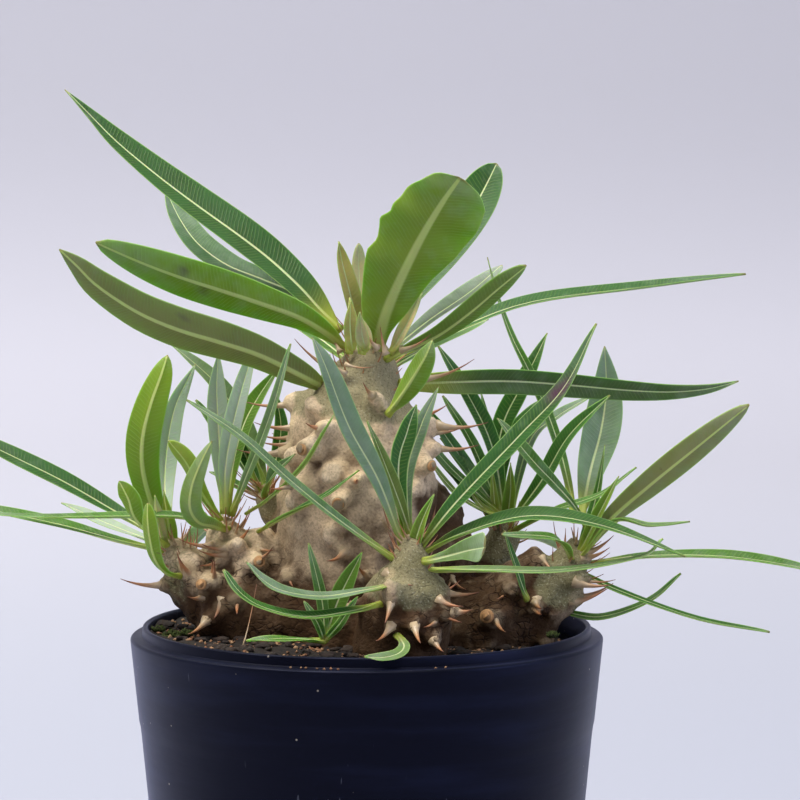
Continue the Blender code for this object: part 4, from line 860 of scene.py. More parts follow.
def living_bark(look):
    """Thin living bark, matt and beige: brown, cracked and darkened with painted shade low down, felted and
    flecked near the tips.

    Painted shade darkens the hollows between the knobs, and a painted highlight makes their crests paler.
    The pores and the hairs of the felt are finer on the plant, and they are drawn 0.3 to 0.4 mm wide so that
    they show.
    """
    material, tree, shader = new_material("living_bark", roughness=0.72, ior=1.45)
    shader.inputs["Specular IOR Level"].default_value = 0.22
    place = add(tree, "TexCoord", out="Object")
    felt, wart, low, scar, cracked, cavity_shade = [
        add(tree, "Attribute", attribute_name=reading, out="Fac")
        for reading in ("felt", "wart", "low", "scar", "cracked", "cavity_shade")]
    noises = {
        name: add(tree, "TexNoise", {"Vector": place, "Scale": spots(size), "Detail": detail})
        for name, size, detail in (
            ("cloud", 7.0, 5.0), ("patch", 3.5, 5.0), ("stain_and_shade", 3.0, 5.0), ("dot", 0.8, 1.0),
            ("wool", 1.0, 5.0), ("fleck", 0.34, 2.0), ("grain", 0.42, 4.0))
    }
    away_from_low = add(tree, "MapRange", {0: low, 3: 1.0, 4: 0.05})
    stain_and_shade = add(tree, "Math", {0: noises["stain_and_shade"], 1: low}, **PLUS)

    bent = add(tree, "TexNoise", {"Vector": place, "Scale": spots(1.6), "Detail": 4.0}, out="Color")
    bent = add(tree, "VectorMath", {0: bent, "Scale": 2.2 * MM}, operation="SCALE")
    bent = add(tree, "VectorMath", {0: place, 1: bent}, operation="ADD")
    drawn_out = add(tree, "Mapping", {"Vector": bent, "Rotation": (0.0, 0.5, 0.3), "Scale": (0.55, 1.0, 1.0)})
    cells = add(tree, "TexVoronoi", {"Vector": drawn_out, "Scale": 1 / (1.5 * MM)},
                feature="DISTANCE_TO_EDGE", out="Distance")
    crack = add(tree, "MapRange", {0: cells, 1: 0.12, 2: 0.0}, **SMOOTH)
    broken = add(tree, "MapRange", {0: noises["patch"], 1: 0.42, 2: 0.6}, **SMOOTH)
    crack = add(tree, "Math", {0: crack, 1: broken}, **TIMES)
    crack = add(tree, "Math", {0: crack, 1: cracked}, **TIMES)

    woolly = add(tree, "Math", {0: noises["wool"], 1: felt}, **PLUS)
    woolly = add(tree, "MapRange", {0: woolly, 1: 0.8, 2: 1.35}, **SMOOTH)
    fleck = add(tree, "MapRange", {0: noises["fleck"], 1: 0.56, 2: 0.70, 4: 0.5}, **SMOOTH)
    fleck = add(tree, "Math", {0: fleck, 1: woolly}, **TIMES)

    painted(tree, shader, look.beige, [
        (noises["cloud"], (0.35, 0.7, 0.7), look.grey),
        (noises["patch"], (0.5, 0.75, 0.5), look.tan),
        # Brown where the low reading and the random stains lie: partly the bark's own, partly painted shade.
        (stain_and_shade, (0.6, 1.2, 0.95), look.brown),
        # Painted shade in the hollows, by their depth, and a painted highlight on the crests, weaker low
        # down.
        (cavity_shade, (0.0, 0.8, 0.9), look.brown),
        (cavity_shade, (-0.05, -0.9, 0.8), look.crest_highlight, away_from_low),
        (noises["grain"], (0.58, 0.36, 0.24), look.dark),
        (noises["dot"], (0.66, 0.74, 0.3), look.dark),
        (crack, AS_IS, look.dark, 0.85),
        (woolly, AS_IS, look.felt, 0.8),
        (wart, (0.45, 1.0, 0.8), look.cream, away_from_low),
        (fleck, AS_IS, look.fleck),
        (noises["fleck"], (0.42, 0.33, 0.45), look.dark, woolly),
        (scar, (0.2, 0.8, 0.5), look.dark),
    ])
    height = add(tree, "Math", {0: noises["grain"], 1: fleck}, **PLUS)
    height = add(tree, "Math", {0: height, 1: crack}, operation="SUBTRACT")
    bump = add(tree, "Bump", {"Height": height, "Strength": 0.8, "Distance": 0.3 * MM})
    tree.links.new(bump, shader.inputs["Normal"])
    tree.links.new(add(tree, "MapRange", {0: noises["patch"], 3: 0.6, 4: 0.85}), shader.inputs["Roughness"])
    return material


def horny_spine(look):
    """Horn: each spine runs from a beige foot through tan to a brown point, some redder, half polished."""
    material, tree, shader = new_material("horny_spine", roughness=0.42, ior=1.54)
    share, pick = [add(tree, "Attribute", attribute_name=reading, out="Fac") for reading in ("share", "pick")]
    place = add(tree, "TexCoord", out="Object")
    streak = add(tree, "TexNoise", {"Vector": place, "Scale": spots(2.5)})
    streaked = add(tree, "Math", {0: share, 1: streak}, **PLUS)
    painted(tree, shader, look.foot, [
        (streaked, (0.6, 1.1, 0.8), look.tan),
        (share, (0.2, 0.65, 0.5), look.orange),
        (pick, (0.45, 1.0, 0.8), look.orange, share),
        (share, (0.6, 1.0, 1.0), look.brown_point),
    ])
    return material


def broken_scar(look):
    """The corky face of a broken spine: tan, with an orange-brown middle and dark grit."""
    material, tree, shader = new_material("broken_scar", roughness=0.7, ior=1.45)
    share = add(tree, "Attribute", attribute_name="share", out="Fac")
    place = add(tree, "TexCoord", out="Object")
    grit = add(tree, "TexNoise", {"Vector": place, "Scale": spots(0.6), "Detail": 3.0})
    painted(tree, shader, look.scar_face, [
        (share, (0.55, 1.0, 0.45), look.orange),
        (grit, (0.5, 0.7, 0.3), look.dark),
    ])
    return material


def moulded_plastic(look):
    """Black polypropylene, injection moulded: blue-black and half glossy, with fine scuffs and dust, and a
    bluish haze that is partly a dusty bloom and partly painted sheen.
    """
    material, tree, shader = new_material("moulded_polypropylene", roughness=0.36, ior=1.49)
    shader.inputs["Specular IOR Level"].default_value = 0.14
    shader.inputs["Specular Tint"].default_value = (*look.gleam, 1.0)
    shader.inputs["Sheen Weight"].default_value = 0.21
    shader.inputs["Sheen Roughness"].default_value = 0.4
    shader.inputs["Sheen Tint"].default_value = (*look.gleam, 1.0)
    place = add(tree, "TexCoord", out="Object")
    broad = add(tree, "TexNoise", {"Vector": place, "Scale": spots(18.0), "Detail": 3.0})
    upright = add(tree, "Mapping", {"Vector": place, "Scale": (1.0, 1.0, 0.10), "Rotation": (0.0, 0.12, 0.0)})
    scratch = add(tree, "TexNoise", {"Vector": upright, "Scale": spots(0.7), "Detail": 1.0})
    scratch = add(tree, "MapRange", {0: scratch, 1: 0.735, 2: 0.76}, **SMOOTH)
    patchy = add(tree, "TexNoise", {"Vector": place, "Scale": spots(12.0)})
    patchy = add(tree, "MapRange", {0: patchy, 1: 0.52, 2: 0.66}, **SMOOTH)
    scratch = add(tree, "Math", {0: scratch, 1: patchy}, **TIMES)
    level = add(tree, "Mapping", {"Vector": place, "Scale": (0.12, 0.12, 1.0)})
    rings = add(tree, "TexNoise", {"Vector": level, "Scale": spots(1.6), "Detail": 3.0})
    dust = add(tree, "TexVoronoi", {"Vector": place, "Scale": 1 / (5.0 * MM)}, out="Distance")
    dust_and_sheen = add(tree, "TexNoise", {"Vector": level, "Scale": spots(4.0), "Detail": 4.0})
    painted(tree, shader, look.plastic, [
        # Bluish haze in bands round the pot: partly a dusty bloom, partly painted sheen.
        (dust_and_sheen, (0.45, 0.75, 0.22), look.dust_and_sheen),
        (scratch, AS_IS, look.scuff, 0.3),
        (dust, (0.055, 0.03, 0.6), look.dust),
    ])
    height = add(tree, "Math", {0: rings, 1: broad}, **PLUS)
    bump = add(tree, "Bump", {"Height": height, "Strength": 0.35, "Distance": 0.25 * MM})
    tree.links.new(bump, shader.inputs["Normal"])
    worn = add(tree, "Math", {0: broad, 1: scratch}, **PLUS)
    tree.links.new(add(tree, "MapRange", {0: worn, 3: 0.26, 4: 0.5}), shader.inputs["Roughness"])
    return material


def loose_grit(name, colours, size):
    """Loose grit, crushed and sieved: matt, and each grain a little different in colour."""
    material, tree, shader = new_material(name, roughness=0.9, ior=1.5)
    place = add(tree, "TexCoord", out="Object")
    pick = add(tree, "Attribute", attribute_name="pick", out="Fac")
    rough = add(tree, "TexNoise", {"Vector": place, "Scale": spots(size), "Detail": 5.0})
    base, other, deep = colours
    painted(tree, shader, base, [(pick, AS_IS, other), (rough, (0.48, 0.7, 1.0), deep)])
    bump = add(tree, "Bump", {"Height": rough, "Strength": 0.8, "Distance": 0.4 * MM})
    tree.links.new(bump, shader.inputs["Normal"])
    return material


def studio_paper(look):
    """Seamless background paper, plain and matt, with a soft change of tone from floor to wall that is
    painted
    shade: darker by the pot and up the wall than where it starts to rise.
    """
    material, tree, shader = new_material("seamless_paper", roughness=0.95, ior=1.4)
    shader.inputs["Specular IOR Level"].default_value = 0.1
    run = add(tree, "Attribute", attribute_name="run", out="Fac")
    # Painted shade: darker by the pot and up the wall, lightest where the paper starts to rise.
    painted(tree, shader, look.paper_near_shaded, [
        (run, (0.0, 0.5, 1.0), look.paper_far),
        (run, (0.468, 0.632, 1.0), look.paper_top_shaded),
    ])
    return material


def pot_profile():
    """The pot's outer side, from the floor up to the collar, then its inner side down to the floor."""
    band = SHOULDER_RADIUS - (SHOULDER_RADIUS - BASE_RADIUS) * (1 - BAND_HEIGHT / SHOULDER_HEIGHT)
    inner_collar = COLLAR_RADIUS - COLLAR_WALL
    corner = [(SHOULDER_RADIUS - CORNER_ROUND * (1 - cos(a)), SHOULDER_HEIGHT - CORNER_ROUND * (1 - sin(a)))
              for a in (radians(18 * i) for i in range(6))]
    lip = [(COLLAR_RADIUS - LIP_ROUND + LIP_ROUND * cos(a), POT_HEIGHT - LIP_ROUND + LIP_ROUND * sin(a))
           for a in (radians(22.5 * i) for i in range(9))]
    wall = [(BASE_RADIUS + (band - BAND_STEP - BASE_RADIUS) * t, 1.5 + (BAND_HEIGHT - 4.5) * t)
            for t in (i / 12 for i in range(13))]
    upper = [(band + (SHOULDER_RADIUS - band) * t, BAND_HEIGHT + (SHOULDER_HEIGHT - 0.9 - BAND_HEIGHT) * t)
             for t in (i / 5 for i in range(6))]
    return [
        (BASE_RADIUS - 1.4, 0), (BASE_RADIUS - 0.5, 0.4), *wall,
        (band - 0.3, BAND_HEIGHT - 1.4), *upper, *corner,
        (COLLAR_RADIUS + 0.5, SHOULDER_HEIGHT), (COLLAR_RADIUS + 0.1, SHOULDER_HEIGHT + 0.3), *lip,
        (inner_collar, SHOULDER_HEIGHT - 1.0), (SHOULDER_RADIUS - 2.0, SHOULDER_HEIGHT - 3.5),
        (band - BAND_STEP - COLLAR_WALL, BAND_HEIGHT - 0.5), (BASE_RADIUS - COLLAR_WALL, FLOOR),
    ]


def make_pot(look):
    """The round pot: turned from its profile, slightly out of true, with drain holes in the floor."""
    bm = bmesh.new()
    rings = []
    for radius, height in pot_profile():
        ring = []
        for i in range(look.sides):
            a = 2 * pi * i / look.sides
            swell = 1 + look.out_of_round * (height / POT_HEIGHT) * cos(2 * a + 0.6) / SHOULDER_RADIUS / MM
            ring.append(Vector((radius * swell * cos(a), radius * swell * sin(a), height)))
        rings.append(ring)
    add_rings(bm, rings)
    pot = new_object("nursery_pot", bm, moulded_plastic(look))
    for i in range(DRAIN_HOLES):
        angle = 2 * pi * i / DRAIN_HOLES
        foot = Vector((DRAIN_CIRCLE * cos(angle), DRAIN_CIRCLE * sin(angle), -1))
        ends = [foot, foot + Vector((0, 0, 2 + FLOOR))]
        drill = bmesh.new()
        add_rings(drill, round_rings(ends, [DRAIN_RADIUS] * 2, CUTTER_SIDES))
        cutter = new_object("drain", drill)
        hole = pot.modifiers.new("hole", "BOOLEAN")
        hole.operation = "DIFFERENCE"
        hole.object = cutter
        settle(pot)
        bpy.data.objects.remove(cutter)
    pot.data.shade_smooth()
    pot.data.set_sharp_from_angle(angle=CREASE)
    return finished(pot, "pot", "pot")


def soil_height(x, y):
    """The soil's surface: a gentle slope with lumps."""
    lumps = sin(0.31 * x + 1) * cos(0.27 * y) + 0.6 * sin(0.53 * y - 0.2 * x)
    return SOIL_LEVEL + SOIL_SLOPE[0] * x + SOIL_SLOPE[1] * y + SOIL_LUMP * lumps


def make_soil(look):
    """The fine dark mix that fills the pot up to its uneven surface."""
    bm = bmesh.new()
    circle = [(cos(2 * pi * i / SOIL_SIDES), sin(2 * pi * i / SOIL_SIDES)) for i in range(SOIL_SIDES)]
    sides = [(BASE_RADIUS - COLLAR_WALL - SOIL_GAP, FLOOR + SOIL_GAP), (SOIL_RADIUS - 1.0, BAND_HEIGHT - 1.0),
             (SOIL_RADIUS, SHOULDER_HEIGHT - 8)]
    rings = [[Vector((r * x, r * y, z)) for x, y in circle] for r, z in sides]
    count = int(SOIL_RADIUS / SOIL_RING_STEP)
    for step in range(count):
        r = SOIL_RADIUS * (1 - step / count)
        ring = []
        for x, y in circle:
            spot = Vector((r * x, r * y, soil_height(r * x, r * y)))
            spot.z += CRUMB_RISE * noise.fractal(spot / CRUMB_SIZE, 1.0, 2.0, 3)
            ring.append(spot)
        rings.append(ring)
    add_rings(bm, rings)
    mix = loose_grit("fine_potting_mix", (look.mix, look.mix_light, look.mix_deep), 1.0)
    soil = new_object("potting_mix", bm, mix)
    return finished(soil, "soil", "soil")


def add_grain(bm, picks, spot, size, flatness, draw):
    """Adds a rough, flattened lump, and its pick of colour for each new point."""
    fineness = 1 if size < COARSE_GRAIN else 2
    ball = bmesh.ops.create_icosphere(bm, subdivisions=fineness, radius=size / 2)["verts"]
    turn = Matrix.Rotation(draw.uniform(0, 2 * pi), 4, "Z")
    turn = turn @ Matrix.Rotation(draw.uniform(-GRAIN_TILT, GRAIN_TILT), 4, "X")
    shape = Matrix.Diagonal((1.0, draw.uniform(*GRAIN_WIDTHS), flatness, 1.0))
    shift = Vector((draw.uniform(0, 100), 0, 0))
    for vert in ball:
        lump = 1 + GRAIN_DENTS * noise.noise(vert.co / size * GRAIN_DENT_SCALE + shift)
        vert.co = turn @ (shape @ (vert.co * lump)) + spot
    picks += [draw.random()] * len(ball)


def scatter(name, count, size, flatness, material, bark, draw, spilled=()):
    """Loose grains lying on the soil, clear of the bark, and some spilled ones on the pot's shoulder."""
    bm = bmesh.new()
    picks = []
    for x in spilled:
        y = -((SHOULDER_RADIUS - SHOULDER_INSET) ** 2 - x * x) ** 0.5
        add_grain(bm, picks, Vector((x, y, SHOULDER_HEIGHT + 0.2)), SHOULDER_GRAIN, flatness, draw)
    for _ in range(count):
        r, a = (SOIL_RADIUS - 1.0) * draw.random() ** 0.5, draw.uniform(0, 2 * pi)
        grain = size * draw.uniform(*GRAIN_SIZES)
        x, y = r * cos(a), r * sin(a)
        spot = Vector((x, y, soil_height(x, y) + grain * 0.25 * flatness))
        near = bark.find_nearest(spot * MM)
        if (spot * MM - near[0]).dot(near[1]) > 0:
            add_grain(bm, picks, spot, grain, flatness, draw)
    grains = new_object(name, bm, material)
    write_readings(grains.data, {"pick": picks})
    return finished(grains, "soil")


def stem_rows(rows):
    """A stem's spots and radii at even steps along a smooth line through its rows."""
    spots_along = smooth_line([seen(*row[:3]) for row in rows], 4 * (len(rows) - 1))
    radii = smooth_line([Vector((row[3], 0, 0)) for row in rows], 4 * (len(rows) - 1))
    return spots_along, [radius.x for radius in radii]


def stem_skins():
    """The stems' and tips' rounded skins in one bmesh, still overlapping."""
    bm = bmesh.new()
    for rows in list(LIMBS.values()) + list(TIPS.values()):
        line, radii = stem_rows(rows)
        add_rings(bm, round_rings(line, radii, STEM_SIDES))
    return bm


def inside_others(spot, own_name):
    """Whether a spot on one stem lies within another stem or against a growing tip."""
    for name, rows in list(LIMBS.items()) + list(TIPS.items()):
        line = smooth_line([seen(*row[:3]) for row in rows], 10)
        radius = max(row[3] for row in rows)
        reach = radius * OTHER_STEM_SHARE
        if name != own_name and any((spot - middle).length < reach for middle in line):
            return True
    return False


def spiral_warts(draw):
    """(root, direction) for the warts that spiral up every stem where the front doesn't show."""
    for name, rows in LIMBS.items():
        length = sum((seen(*b[:3]) - seen(*a[:3])).length for a, b in zip(rows, rows[1:]))
        steps = round(length / SPIRAL_STEP * 2)
        line = smooth_line([seen(*row[:3]) for row in rows], steps)
        for step in range(1, steps):
            ahead = along(line, step)
            across = ahead.orthogonal().normalized()
            up = ahead.cross(across)
            angle = step * SPIRAL_TURN + draw.uniform(-SPIRAL_WANDER, SPIRAL_WANDER)
            outward = cos(angle) * across + sin(angle) * up
            place = step / steps * (len(rows) - 1)
            part = min(int(place), len(rows) - 2)
            radius = rows[part][3] + (rows[part + 1][3] - rows[part][3]) * (place - part)
            spot = line[step] + outward * radius
            if spot.z > LOWEST_WART and outward.y > FRONT_FACING and not inside_others(spot, name):
                yield spot, outward


def plan_spines(draw, rough_bark):
    """The bark's warts and its spines.

    A wart is (foot, top, radius of the foot, radius of the top, kind) and a spine is (root, point, radius).
    """
    warts, spines = [], []
    for root, point in SPINES:
        start, end = seen(*root), seen(*point)
        top = start + (end - start) * WART_SHARE
        warts.append((start, top, CONE_FOOT, CONE_TOP, "horn"))
        spines.append((top - (end - start).normalized() * NEEDLE_ROOT, end, CONE_NEEDLE))
    for across, up, foot_radius, top_radius, height, right, rise, kind in KNOBS:
        aim = (seen(across, up, 0) - EYE).normalized()
        hit, normal, _, _ = rough_bark.ray_cast(EYE * MM, aim)
        if hit is None:
            raise RuntimeError("a knob misses the bark at %s, %s" % (across, up))
        outward = (normal - aim * KNOB_FORWARD + Vector((right, 0, rise))).normalized()
        foot = hit / MM
        top = foot + outward * height
        warts.append((foot - outward * WART_SINK, top, foot_radius, top_radius, kind))
        if kind == "horn":
            point = top + (outward + Vector((right, 0, rise)) * HORN_LEAN).normalized() * HORN_POINT
            spines.append((top - outward * NEEDLE_ROOT, point, top_radius * HORN_SHARE))
    for root, point, radius in NEEDLES:
        hit, normal, _, _ = rough_bark.ray_cast(EYE * MM, (seen(*root) - EYE).normalized())
        if hit is None:
            hit, normal, _, _ = rough_bark.find_nearest(seen(*root) * MM)
        start = hit / MM
        end = seen(point[0], point[1], start.y + point[2] - root[2])
        top = start + (end - start) * NEEDLE_SHARE
        warts.append((start - normal * NEEDLE_SINK, top, NEEDLE_FOOT * radius, radius, "horn"))
        spines.append((top - (end - start).normalized() * NEEDLE_ROOT, end, radius))
    for spot, outward in spiral_warts(draw):
        top = spot + outward * WART_HEIGHT
        if any((top - wart[1]).length < WART_SPACING for wart in warts):
            continue
        foot_radius = WART_RADIUS * draw.uniform(*WART_SPREAD)
        warts.append((spot - outward * WART_SINK, top, foot_radius, WART_TOP, "horn"))
        sideways = outward.cross(Vector((0, 0, 1))).normalized() * PAIR_SPREAD
        for lean in (sideways, -sideways):
            length = PAIR_LENGTH * draw.uniform(*PAIR_LENGTHS)
            point = top + (outward + lean + PAIR_RISE) * length
            spines.append((top - outward * NEEDLE_ROOT, point, NEEDLE_RADIUS))
    return warts, spines


def grow(name, bm, grain):
    """Runs overlapping skins together into one smooth body."""
    body = new_object(name, bm)
    remesh = body.modifiers.new("grow", "REMESH")
    remesh.mode = "VOXEL"
    remesh.voxel_size = grain
    smooth = body.modifiers.new("smooth", "SMOOTH")
    smooth.factor = SMOOTH_SHARE
    smooth.iterations = SMOOTH_TIMES
    settle(body)
    return body


def cavities(body):
    """How deep each point of a body lies in a hollow, in millimetres: below zero on its crests."""
    copy = bpy.data.objects.new("smoother", body.data.copy())
    bpy.context.scene.collection.objects.link(copy)
    smooth = copy.modifiers.new("smooth", "SMOOTH")
    smooth.factor = SMOOTH_SHARE
    smooth.iterations = CAVITY_TIMES
    settle(copy)
    depth = ((points_of(copy.data) - points_of(body.data)) * points_of(body.data, "normal")).sum(axis=1)
    bpy.data.objects.remove(copy)
    return depth


def points_of(mesh, what="co"):
    """The mesh's points or their normals as an array, points in millimetres."""
    values = np.zeros(len(mesh.vertices) * 3, np.float32)
    if what == "co":
        mesh.vertices.foreach_get("co", values)
        return values.reshape(-1, 3) / MM
    mesh.vertex_normals.foreach_get("vector", values)
    return values.reshape(-1, 3)


def step_between(values, low, high):
    """0 at low and below, 1 at high and above, smooth between; low may be above high."""
    t = np.clip((values - low) / (high - low), 0, 1)
    return t * t * (3 - 2 * t)


def nearness(points, spots_list, radii):
    """How far each point lies from the nearest of some round spots' skins."""
    best = np.full(len(points), 1e9)
    for spot, radius in zip(spots_list, radii):
        away = np.linalg.norm(points - np.array(spot), axis=1) - radius
        best = np.minimum(best, away)
    return best


def make_bark(look, warts):
    """The bark of all the stems with its warts, lumps and wrinkles, and its readings for the material."""
    bm = stem_skins()
    for foot, top, foot_radius, top_radius, kind in warts:
        line = [foot + (top - foot) * t for t, _ in WART_FLARE]
        radii = [top_radius + (foot_radius - top_radius) * flare for _, flare in WART_FLARE]
        add_rings(bm, round_rings(line, radii, WART_SIDES))
    bark = grow("bark", bm, look.grain)
    points, normals = points_of(bark.data), points_of(bark.data, "normal")
    lumps = np.array([noise.fractal(Vector(p) / LUMP_SIZE, 1.0, 2.0, 2) for p in points])
    wrinkles = np.array([noise.ridged_multi_fractal(Vector(p) / WRINKLE_SIZE, 1.0, 2.0, 2, 1.0, 2.0)
                         for p in points])
    tips = [stem_rows(rows) for rows in TIPS.values()]
    felt = nearness(points, [s for line, _ in tips for s in line], [r for _, radii in tips for r in radii])
    felt = step_between(felt, *FELT_AWAY) * (1 - FELT_LOSS * step_between(points[:, 0], *FELT_LESS_ACROSS))
    rough = (1 - felt) * (1 + step_between(points[:, 2], *LOW_UP))
    rise = LUMP_RISE * lumps - WRINKLE_RISE * wrinkles * rough
    points = points + normals * rise[:, None]
    wart_share, scar = np.zeros(len(points)), np.zeros(len(points))
    for foot, top, foot_radius, top_radius, kind in warts:
        if kind == "bare":
            continue
        axis = np.array(top - foot)
        share = (points - np.array(foot)) @ axis / (axis @ axis)
        from_axis = np.linalg.norm(points - np.array(foot) - share[:, None] * axis, axis=1)
        from_top = np.linalg.norm(points - np.array(top), axis=1)
        close = step_between(from_axis, *(foot_radius * radii for radii in WART_CLOSE))
        near = step_between(from_top, *(top_radius * radii for radii in WART_NEAR))
        wart_share = np.maximum(wart_share, near * np.clip(share, 0, 1) * close)
        if kind == "scar":
            scar = np.maximum(scar, step_between(from_top, *(top_radius * radii for radii in SCAR_NEAR)))
    across, up = points[:, 0], points[:, 2]
    # The bark low down turns brown: partly its own colour, partly painted shade.
    low = step_between(up, *LOW_UP)
    cracked = np.maximum(step_between(across, *CRACKED_RIGHT),
                         CRACKED_LEFT_SHARE * step_between(across, *CRACKED_LEFT))
    cracked = np.maximum(cracked * step_between(up, *CRACKED_UP), CRACKED_LOW_SHARE * low)
    low = low * (1 - LOW_LOSS * step_between(across, *LOW_LESS_ACROSS))
    # Patches of painted shade up the trunk join the low brown.
    for strength, span_across, span_up in SHADE_PATCHES:
        patch = strength * (step_between(across, *span_across) * step_between(up, *span_up))
        low = np.maximum(low, patch)
    bark.data.vertices.foreach_set("co", (points * MM).astype(np.float32).ravel())
    bark.data.update()
    # This depth sets the painted shade in the hollows and the painted highlight on the crests.
    cavity_shade = cavities(bark)
    bark.data.materials.append(living_bark(look))
    bark.data.shade_smooth()
    write_readings(bark.data, {"felt": felt, "wart": wart_share, "low": low, "scar": scar,
                               "cracked": cracked, "cavity_shade": cavity_shade})
    return finished(bark, "bark", "caudex")


def add_needle(bm, readings, root, point, radius, pick):
    """Adds one slightly curved spine, and its share of length and pick of colour for each new point."""
    length = (point - root).length
    sag = Vector((0, 0, -1)) * length * NEEDLE_BEND
    shares = [i / NEEDLE_STEPS for i in range(NEEDLE_STEPS + 1)]
    line = [root + (point - root) * t + sag * (4 * t * (1 - t)) for t in shares]
    swell = [(1 - t) ** NEEDLE_TAPER + NEEDLE_FLARE * (1 - t) ** NEEDLE_FLARE_POWER for t in shares]
    radii = [NEEDLE_POINT + (radius - NEEDLE_POINT) * share for share in swell]
    add_rings(bm, round_rings(line, radii, NEEDLE_SIDES))
    for share in shares:
        readings["share"] += [share] * NEEDLE_SIDES
        readings["pick"] += [pick] * NEEDLE_SIDES


def make_spines(look, spines, draw):
    """The spines of the bark and of the growing tips."""
    bm = bmesh.new()
    readings = {"share": [], "pick": []}
    for root, point, radius in spines:
        add_needle(bm, readings, root, point, radius, draw.random())
    horn = new_object("spines", bm, horny_spine(look))
    write_readings(horn.data, readings)
    return finished(horn, "bark")


def make_scars(look, warts):
    """The round corky faces of broken spines."""
    bm = bmesh.new()
    shares = []
    for foot, top, _, radius, kind in warts:
        if kind != "scar":
            continue
        outward = (top - foot).normalized()
        line = [top + outward * out for out, _, _ in SCAR_FACE]
        add_rings(bm, round_rings(line, [radius * wide for _, wide, _ in SCAR_FACE], SCAR_SIDES))
        for _, _, brown in SCAR_FACE:
            shares += [brown] * SCAR_SIDES
    scars = new_object("spine_scars", bm, broken_scar(look))
    write_readings(scars.data, {"share": shares})
    return finished(scars, "bark")


def section(low, high, rib):
    """The offsets of the points across a blade, from one margin to the other."""
    return ([-s * low for s in SECTION] + [-min(rib, RIB_LIMIT * low), 0.0, min(rib, RIB_LIMIT * high)]
            + [s * high for s in reversed(SECTION)])


def blush_at(blushes, t, x):
    """How far a purple-brown blush covers the spot at t along the blade and x across it."""
    return max((exp(-((t - at) / reach) ** 2 - ((x - side) / spread) ** 2)
                for at, side, reach, spread in blushes), default=0.0)


def add_leaf(bm, readings, row, blushes, draw):
    """Adds one leaf to the mesh: a thin folded blade with a rib beneath, grown from a round stalk."""
    width, face, outline, tone, points = row
    widest, fullness, fold, steps = SHAPES[outline]
    line = smooth_line([seen(*point) for point in points], steps)
    power = log(0.5) / log(widest)
    places, *edges = zip(*EDGES[outline]) if outline in EDGES else [()]
    phase, ripple, pick = draw.uniform(0, 2 * pi), draw.uniform(0.5, 1.0) * EDGE_WAVE, draw.random()
    warmth, bloom, bronze, browned_and_shaded = TONES[tone]
    rib_half = RIB_LEAST + RIB_SHARE * width
    thick = min(STALK_DEPTH, STALK_DEEPEST * width)
    reach = 0.0
    rings = []
    for step, spot in enumerate(line):
        t = step / steps
        if step:
            reach += (spot - line[step - 1]).length
        ahead = along(line, step)
        upper = Vector(face)
        upper = (upper - ahead * upper.dot(ahead)).normalized()
        side = ahead.cross(upper)
        stalk = max(0.0, 1 - t / STALK_SHARE)
        stalk = stalk * stalk * (3 - 2 * stalk)
        least = min(STALK_WIDTH, STALK_WIDEST * width) * (1 - t) ** 0.5 if t < 0.5 else TIP_WIDTH
        full = max(sin(pi * t ** power), 0.0) ** fullness
        shares = [np.interp(t, places, edge) for edge in edges] if edges else [full, full]
        low, high = [max(width * share, least, TIP_WIDTH) / 2 for share in shares]
        over, under = [], []
        for off in section(low, high, rib_half):
            half = low if off < 0 else high
            x = off / half
            lift = fold * half * abs(x) ** FOLD_POWER * (1 - stalk)
            lag = EDGE_LAG if x > 0 else 0
            lift += ripple * abs(x) ** 2 * (1 - stalk) * sin(EDGE_SPEED * t + phase + lag)
            if outline == "oval":
                ease = min(1.0, OVAL_EASE * t, OVAL_EASE * (1 - t))
                lift += OVAL_WAVE * x * sin(2 * pi * OVAL_WAVES * t) * ease
            bulge = max(0.0, 1 - x * x) ** 0.5
            depth = BLADE * (MARGIN_SHARE + (1 - MARGIN_SHARE) * bulge) * (1 - stalk) + thick * bulge * stalk
            rib = RIB_RISE * exp(-(off / rib_half) ** 2) * (1 - stalk) * (1 - RIB_LOSS * t)
            groove = GROOVE * exp(-(off / (GROOVE_SHARE * rib_half)) ** 2) * (1 - stalk)
            middle = spot + side * off + upper * lift
            over.append(middle + upper * (depth / 2 - groove))
            under.append(middle - upper * (depth / 2 + rib))
            readings["rows"].append((off, half - abs(off), reach, t, warmth, bloom, bronze, pick, rib_half,
                                     max(browned_and_shaded, blush_at(blushes, t, x))))
        rings.append(over + under[::-1])
        readings["rows"] += readings["rows"][-len(over):][::-1]
    for loop in add_rings(bm, rings):
        readings["over"].update(loop[:len(loop) // 2])


def make_leaves(name, crown, rows, skins, draw):
    """All the leaves of one growing tip."""
    bm = bmesh.new()
    readings = {"rows": [], "over": set()}
    for number, row in enumerate(rows):
        add_leaf(bm, readings, row, BLUSHES.get((crown, number), []), draw)
    for face in bm.faces:
        face.material_index = 0 if sum(vert in readings["over"] for vert in face.verts) > 2 else 1
    leaves = new_object(name, bm, *skins)
    table = np.array(readings["rows"], np.float32)
    write_readings(leaves.data, {reading: table[:, i] for i, reading in enumerate(LEAF_READINGS)})
    return finished(leaves, "leaf", crown)


def tip_spines(rows, draw):
    """Short fine spines that stand between the leaf stalks of one growing tip."""
    line, radii = stem_rows(rows)
    for _ in range(TIP_SPINES):
        step = draw.randrange(len(line) // 3, len(line))
        ahead = along(line, step)
        across = ahead.orthogonal().normalized()
        angle = draw.uniform(0, 2 * pi)
        outward = cos(angle) * across + sin(angle) * ahead.cross(across)
        root = line[step] + outward * radii[step] * TIP_SPINE_PLACE
        aim = (outward * draw.uniform(*TIP_SPINE_LEAN) + ahead).normalized()
        yield root, root + aim * draw.uniform(*TIP_SPINE_LENGTH), TIP_SPINE_RADIUS


